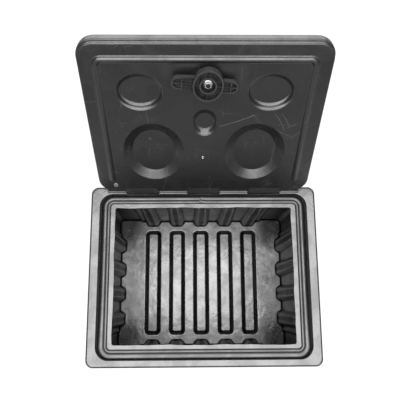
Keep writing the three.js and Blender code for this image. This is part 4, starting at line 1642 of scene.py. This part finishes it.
@dataclass
class LidShell:
    """The double-walled lid: dished inner face, stepped side, rounded cover and raised panel."""

    kind: Kind = Kind(Finish.LID, Slot.SHELL, Body.LID)
    lid: LidFrame = LidFrame()
    # The shell's section from the inner face over the side to the panel
    tray: Outline = Outline(250.0, 194.7, 35.0)
    panel: Outline = Outline(204.0, 148.7, 30.0)
    overhang: float = 3.1
    centre_y: float = -202.0
    step: float = 7.0
    panel_face: float = 30.0
    outer_face: float = 33.0
    face_inset: float = 8.0
    panel_draft: float = 3.0
    panel_inset: float = 9.0
    radii: tuple[float, ...] = (2.5, 1.4, 1.6, 12.0, 2.0, 2.0)
    steps: int = 5
    corner_steps: int = 14
    # Recesses and holes of the inner face
    recesses: tuple[Recess, ...] = (
        Recess(0.0, 204.5, (56.0, 71.0), (37.0, 40.0)),
        Recess(-114.0, 121.0, (137.0, 163.0), (96.0, 118.0), ease_share=0.33, ease_drop=3.0),
        Recess(114.0, 121.0, (137.0, 163.0), (96.0, 118.0), ease_share=0.33, ease_drop=3.0),
        Recess(-134.5, 281.0, (96.0, 89.0), (82.0, 62.0)),
        Recess(134.5, 281.0, (96.0, 89.0), (82.0, 62.0)),
    )
    recess_radii: tuple[float, ...] = (3.0, 4.0, 4.0, 3.0)
    mouth_margin: float = 5.0
    bed_margin: float = 8.0
    recess_steps: int = 72
    pin_mark: Hole = Hole(-3.0, 107.0, 1.5, 2.5)
    rivet_holes: tuple[Hole, ...] = (Hole(-211.0, 20.0, 4.2, 5.0), Hole(211.0, 20.0, 4.2, 5.0))
    hole_margin: float = 1.2
    hole_radius: float = 0.8
    hole_rim_steps: int = 3
    hole_steps: int = 24
    ring_radius: float = 2.4
    ring_wire: float = 0.8
    ring_wire_steps: int = 12
    ring_steps: int = 32
    # The bead, whose flare is pairs of the place beyond its width and the height
    bead_inset: float = 33.5
    bead_half: float = 6.5
    bead_height: float = 5.0
    bead_sunk: float = 0.8
    bead_start: float = 14.0
    bead_flare: tuple[Pair, ...] = ((2.2, -1.4), (2.2, 0.02), (0.7, 0.25))
    bead_corner: float = 14.0
    bead_back: float = 39.0
    bead_steps: int = 12
    bead_taper: int = 5
    bead_least: float = 0.2
    bead_smooth: float = 60.0
    # Knuckles
    knuckle_half: float = 38.5
    knuckle_radius: float = 6.2
    knuckle_edge: float = 1.5
    knuckle_sides: int = 40
    root_place: float = 14.0
    root_thick: float = 2.0
    root_sunk: float = 0.1
    root_drop: float = 2.5

    def build(self, maker: Maker) -> None:
        """Build the shell, its bead, its knuckles and its small ring.

        Args:
            maker: Makes the pieces.
        """
        place = self.lid.matrix()
        skin = self._shell()
        maker.piece(skin.name, skin.form, self.kind, place, ("lid_shell",))
        stations, swells = self._bead_path()
        bead = sweep("lid_bead", stations, lambda number: self._bead_profile(swells[number]))
        maker.piece(bead.name, bead.form, self.kind, place, smooth=self.bead_smooth)
        for number, centre in enumerate(KNUCKLES):
            maker.piece(f"lid_knuckle_{number}", self._knuckle(centre), self.kind, place)
        mark = Matrix.Translation(self.lid.drawn(self.pin_mark.across, self.pin_mark.along))
        kind = Kind(Finish.PLATED, Slot.PLATED, Body.LID)
        maker.piece("pin_mark_ring", self._ring(), kind, place @ mark)

    def _shell(self) -> Skin:
        """Grow the shell from the inner face over the side to the panel, with its recesses and holes.

        Returns:
            The closed skin.
        """
        face = self.lid.inner_face
        keys = [self.tray.key(face, self.face_inset), self.tray.key(face), self.tray.key(self.step),
                self.tray.key(self.step, -self.overhang), self.tray.key(self.panel_face, -self.overhang),
                self.panel.key(self.panel_face), self.panel.key(self.outer_face, self.panel_draft),
                self.panel.key(self.outer_face, self.panel_inset)]
        path = rounded(keys, self.radii, self.steps)
        centre = (0.0, self.centre_y)
        skin = Skin("lid_skin")
        first = skin.open(plain_ring(path[0], centre, self.corner_steps))
        last = skin.grow_all(first, (plain_ring(key, centre, self.corner_steps) for key in path[1:]))
        skin.fill([last], (0.0, 0.0, 1.0))
        mouths = [self._recess(skin, recess) for recess in self.recesses]
        mouths += [self._hole(skin, hole) for hole in (*self.rivet_holes, self.pin_mark)]
        skin.fill([first, *mouths], (0.0, 0.0, -1.0))
        return skin

    def _recess(self, skin: Skin, recess: Recess) -> Front:
        """Grow one recess.

        Args:
            skin: The lid's skin.
            recess: The recess.

        Returns:
            The front at its mouth.
        """
        *centre, face = self.lid.drawn(recess.across, recess.along)
        low = face + recess.depth
        sizes = list(zip(recess.mouth, recess.bed))
        upper = [mouth + (bed - mouth) * recess.ease_share for mouth, bed in sizes]
        lower = [bed + (mouth - bed) * recess.ease_share for mouth, bed in sizes]
        keys = [(*(size + self.mouth_margin for size in recess.mouth), face), (*recess.mouth, face),
                (*upper, face + recess.ease_drop), (*lower, low - recess.ease_drop), (*recess.bed, low),
                (*(size - self.bed_margin for size in recess.bed), low)]
        path = rounded(keys, self.recess_radii, self.steps)
        first = skin.open(ellipse_ring(path[0], centre, self.recess_steps))
        last = skin.grow_all(first, (ellipse_ring(key, centre, self.recess_steps) for key in path[1:]))
        skin.fill([last], (0.0, 0.0, -1.0))
        return first

    def _hole(self, skin: Skin, hole: Hole) -> Front:
        """Grow a small round hole.

        Args:
            skin: The lid's skin.
            hole: The hole.

        Returns:
            The front at its mouth.
        """
        *centre, face = self.lid.drawn(hole.across, hole.along)
        wide = 2 * hole.radius
        keys = [(wide + self.hole_margin, face), (wide, face), (wide, face + hole.depth)]
        path = [(size, size, height)
                for size, height in rounded(keys, [self.hole_radius], self.hole_rim_steps)]
        first = skin.open(ellipse_ring(path[0], centre, self.hole_steps))
        last = skin.grow_all(first, (ellipse_ring(key, centre, self.hole_steps) for key in path[1:]))
        skin.cap(last)
        return first

    def _bead_profile(self, swell: float) -> list[Pair]:
        """Draw the bead's half-round section with flared feet.

        Args:
            swell: The share of its full width and height.

        Returns:
            The points across the bead and up.
        """
        wide, high = self.bead_half * swell, self.bead_height * swell
        sweep_degrees = 180.0 - 2 * self.bead_start
        turns = [math.radians(self.bead_start + sweep_degrees * step / self.bead_steps)
                 for step in range(self.bead_steps + 1)]
        crown = [(wide * math.cos(turn), (high + self.bead_sunk) * math.sin(turn) - self.bead_sunk)
                 for turn in turns]
        return [*((wide + out, up) for out, up in self.bead_flare), *crown,
                *((-wide - out, up) for out, up in reversed(self.bead_flare))]

    def _bead_path(self) -> tuple[list[Matrix], list[float]]:
        """Lay the bead's path down the left side and along the free edge, and mirror it to the right.

        Returns:
            The bead's stations on the inner face, and how much it swells at each.
        """
        _, back, face = self.lid.drawn(0.0, self.bead_back)
        side = self.bead_inset - self.tray.half_x
        front = self.centre_y - self.tray.half_y + self.bead_inset
        quarter = math.pi / 2
        left = []
        for step in range(self.bead_taper):
            swell = max(math.sin((step + 1) / self.bead_taper * quarter), self.bead_least)
            left.append((side, back + self.bead_half * (1 - step / self.bead_taper), -quarter, swell))
        for step in range(self.bead_steps + 1):
            turn = quarter * step / self.bead_steps
            left.append((side + self.bead_corner * (1 - math.cos(turn)),
                         front + self.bead_corner * (1 - math.sin(turn)), turn - quarter, 1.0))
        spots = left + [(-x, y, -heading, swell) for x, y, heading, swell in reversed(left)]
        stations = []
        for x, y, heading, _ in spots:
            way = Vector((math.cos(heading), math.sin(heading), 0.0))
            stations.append(station(Vector((x, y, face)), way, -1.0))
        return stations, [swell for _, _, _, swell in spots]

    def _knuckle(self, centre: float) -> bmesh.types.BMesh:
        """Make a knuckle whose round eye runs flat into the lid's inner face.

        Args:
            centre: Its place across.

        Returns:
            The knuckle in millimetres.
        """
        form = rod(self.knuckle_radius, centre, self.knuckle_half, self.knuckle_edge, self.knuckle_sides)
        low, high = self.lid.inner_face - self.root_sunk, self.step - self.root_drop
        add_block(form, (2 * (self.knuckle_half - self.knuckle_edge), self.root_thick, high - low),
                  (centre, -self.root_place, (low + high) / 2))
        hull = bmesh.ops.convex_hull(form, input=form.verts)
        inside = [item for item in hull["geom_interior"] if isinstance(item, bmesh.types.BMVert)]
        bmesh.ops.delete(form, geom=inside, context="VERTS")
        return form

    def _ring(self) -> bmesh.types.BMesh:
        """Make the small bright ring round the blow-pin mark.

        Returns:
            The ring in millimetres, about the origin.
        """
        form = bmesh.new()
        bmesh.ops.create_circle(form, cap_ends=False, radius=self.ring_wire, segments=self.ring_wire_steps)
        bmesh.ops.rotate(form, verts=form.verts, matrix=Matrix.Rotation(math.pi / 2, 3, "X"))
        bmesh.ops.translate(form, verts=form.verts, vec=(self.ring_radius, 0.0, 0.0))
        bmesh.ops.spin(form, geom=list(form.verts) + list(form.edges), cent=(0, 0, 0), axis=(0, 0, 1),
                       angle=2 * math.pi, steps=self.ring_steps, use_merge=True)
        return form


@dataclass
class SmallParts:
    """The pin, rivet, lock and latch, as copies of the frame's solids with rounded edges."""

    parts: tuple[tuple[str, Finish, Slot, Body, float], ...] = (
        ("hinge_pin", Finish.STEEL, Slot.PLATED, Body.BASE, 0.4),
        ("pin_plug", Finish.MOULDED, Slot.MOULDED, Body.BASE, 0.4),
        ("lid_rivet", Finish.PLATED, Slot.PLATED, Body.LID, 0.2),
        ("shaft_bush", Finish.MOULDED, Slot.MOULDED, Body.LID, 0.5),
        ("lock_gasket", Finish.RUBBER, Slot.RUBBER, Body.LID, 0.4),
        ("lock_base", Finish.MOULDED, Slot.MOULDED, Body.LID, 0.8),
        ("lock_handle", Finish.MOULDED, Slot.MOULDED, Body.LATCH, 1.5),
        ("lock_spindle", Finish.STEEL, Slot.PLATED, Body.LATCH, 0.3),
        ("latch_bar", Finish.MOULDED, Slot.MOULDED, Body.LATCH, 0.7),
        ("latch_washer", Finish.PLATED, Slot.PLATED, Body.LATCH, 0.2),
        ("latch_nut", Finish.PLATED, Slot.PLATED, Body.LATCH, 0.5),
        ("key_barrel", Finish.CHROME, Slot.CHROME, Body.KEY, 0.4),
    )
    merge: float = 0.002
    flat: float = 0.6
    smooth: float = 34.0

    def build(self, maker: Maker) -> None:
        """Copy, merge and round each solid.

        Args:
            maker: Dresses the pieces.
        """
        for node, finish, slot, body, edge in self.parts:
            form = bmesh.new()
            form.from_mesh(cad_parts[node].data)
            bmesh.ops.remove_doubles(form, verts=form.verts, dist=self.merge * MM)
            bmesh.ops.dissolve_limit(form, angle_limit=math.radians(self.flat), verts=form.verts,
                                     edges=form.edges)
            name = f"{node}_skin"
            maker.dress(name, to_mesh(form, name), Kind(finish, slot, body), (node,), self.smooth, edge)


@dataclass(frozen=True)
class Lamp:
    """One soft rectangular light: its size and place in metres, its turn in degrees and its brightness."""

    name: str
    size: Pair
    place: Triple
    turn: Triple
    brightness: float


@dataclass
class Studio:
    """The pale floor, the soft overhead light and the camera at the photograph's view, in metres."""

    camera_place: Triple = (-0.02658, -0.06471, 1.62926)
    camera_turn: Triple = (0.20493, -0.01412, -0.00594)
    camera_lens: float = 44.1
    camera_near: float = 0.01
    floor_size: float = 12.0
    floor_drop: float = 0.0005
    floor_colour: Triple = (0.3, 0.3, 0.3)
    floor_lift: float = 0.8
    fill: float = 0.2
    mirrored: float = 0.2
    floor_mirrored: float = 0.4
    lamps: tuple[Lamp, ...] = (
        Lamp("overhead_panel", (2.2, 3.05), (0.0, -0.875, 1.95), (0.0, 0.0, 0.0), 3.6),
        Lamp("back_panel", (2.4, 0.9), (0.0, 1.9, 0.75), (-90.0, 0.0, 0.0), 2.2),
    )

    def build(self) -> None:
        """Build the camera, the floor, the lights and the world."""
        self._camera()
        self._floor()
        for lamp in self.lamps:
            self._hang(lamp)
        self._world()
        bpy.context.scene.view_settings.view_transform = "Standard"

    def _camera(self) -> None:
        """Place the camera at the photograph's view."""
        lens = bpy.data.cameras.new("photo_camera")
        lens.lens = self.camera_lens
        lens.clip_start = self.camera_near
        camera = set_out("photo_camera", lens)
        camera.location = self.camera_place
        camera.rotation_euler = self.camera_turn
        bpy.context.scene.camera = camera

    @staticmethod
    def _seen(sheet: NodeSheet, mirrored: float) -> Socket:
        """Tell rays that see the backdrop from those that light the box.

        Args:
            sheet: The sheet of a material or the world.
            mirrored: The share for glossy and transmission rays.

        Returns:
            A socket that is 1 for camera rays and the share for mirrored ones.
        """
        path = sheet.add("LightPath").outputs
        bent = sheet.largest(path["Is Glossy Ray"], path["Is Transmission Ray"])
        return sheet.largest(path["Is Camera Ray"], sheet.product(bent, mirrored))

    def _floor(self) -> None:
        """Lay a pale floor that keeps the box's soft shadow."""
        form = bmesh.new()
        bmesh.ops.create_grid(form, x_segments=1, y_segments=1, size=self.floor_size / 2)
        bmesh.ops.translate(form, verts=form.verts, vec=(0.0, 0.0, -self.floor_drop))
        mesh = to_mesh(form, "floor")
        floor = set_out("floor", mesh)
        material, sheet, _ = start_material("pale_floor")
        sheet.tree.nodes.clear()
        matt = sheet.add("BsdfDiffuse", Color=(*self.floor_colour, 1.0))
        glow = sheet.add("Emission")
        seen = self._seen(sheet, self.floor_mirrored)
        sheet.feed(sheet.product(seen, self.floor_lift), glow.inputs["Strength"])
        both = sheet.add("AddShader")
        sheet.feed(matt.outputs[0], both.inputs[0])
        sheet.feed(glow.outputs[0], both.inputs[1])
        sheet.feed(both.outputs[0], sheet.add("OutputMaterial").inputs["Surface"])
        mesh.materials.append(material)

    def _hang(self, lamp: Lamp) -> None:
        """Hang one soft light that shines along its own -Z.

        Args:
            lamp: The light.
        """
        light = bpy.data.lights.new(lamp.name, "AREA")
        light.shape = "RECTANGLE"
        light.size, light.size_y = lamp.size
        light.energy = lamp.brightness * math.pi * lamp.size[0] * lamp.size[1]
        hung = set_out(lamp.name, light)
        hung.location = lamp.place
        hung.rotation_euler = tuple(math.radians(angle) for angle in lamp.turn)

    def _world(self) -> None:
        """Give a soft fill to surfaces, and white to what the camera sees."""
        world = bpy.data.worlds.new("studio")
        bpy.context.scene.world = world
        world.use_nodes = True
        sheet = NodeSheet(world.node_tree)
        sheet.tree.nodes.clear()
        back = sheet.add("Background")
        sheet.feed(sheet.largest(self._seen(sheet, self.mirrored), self.fill), back.inputs["Strength"])
        sheet.feed(back.outputs[0], sheet.add("OutputWorld").inputs["Surface"])


def main() -> None:
    """Build the finishes, the box, the lid and the studio in order."""
    logging.basicConfig(level=logging.INFO)
    wardrobe = Wardrobe()
    wardrobe.build()
    maker = Maker(wardrobe)
    for assembly in (BoxShell(), RimSeal(), LidShell(), SmallParts()):
        assembly.build(maker)
    Studio().build()


if __name__ == "__main__":
    main()
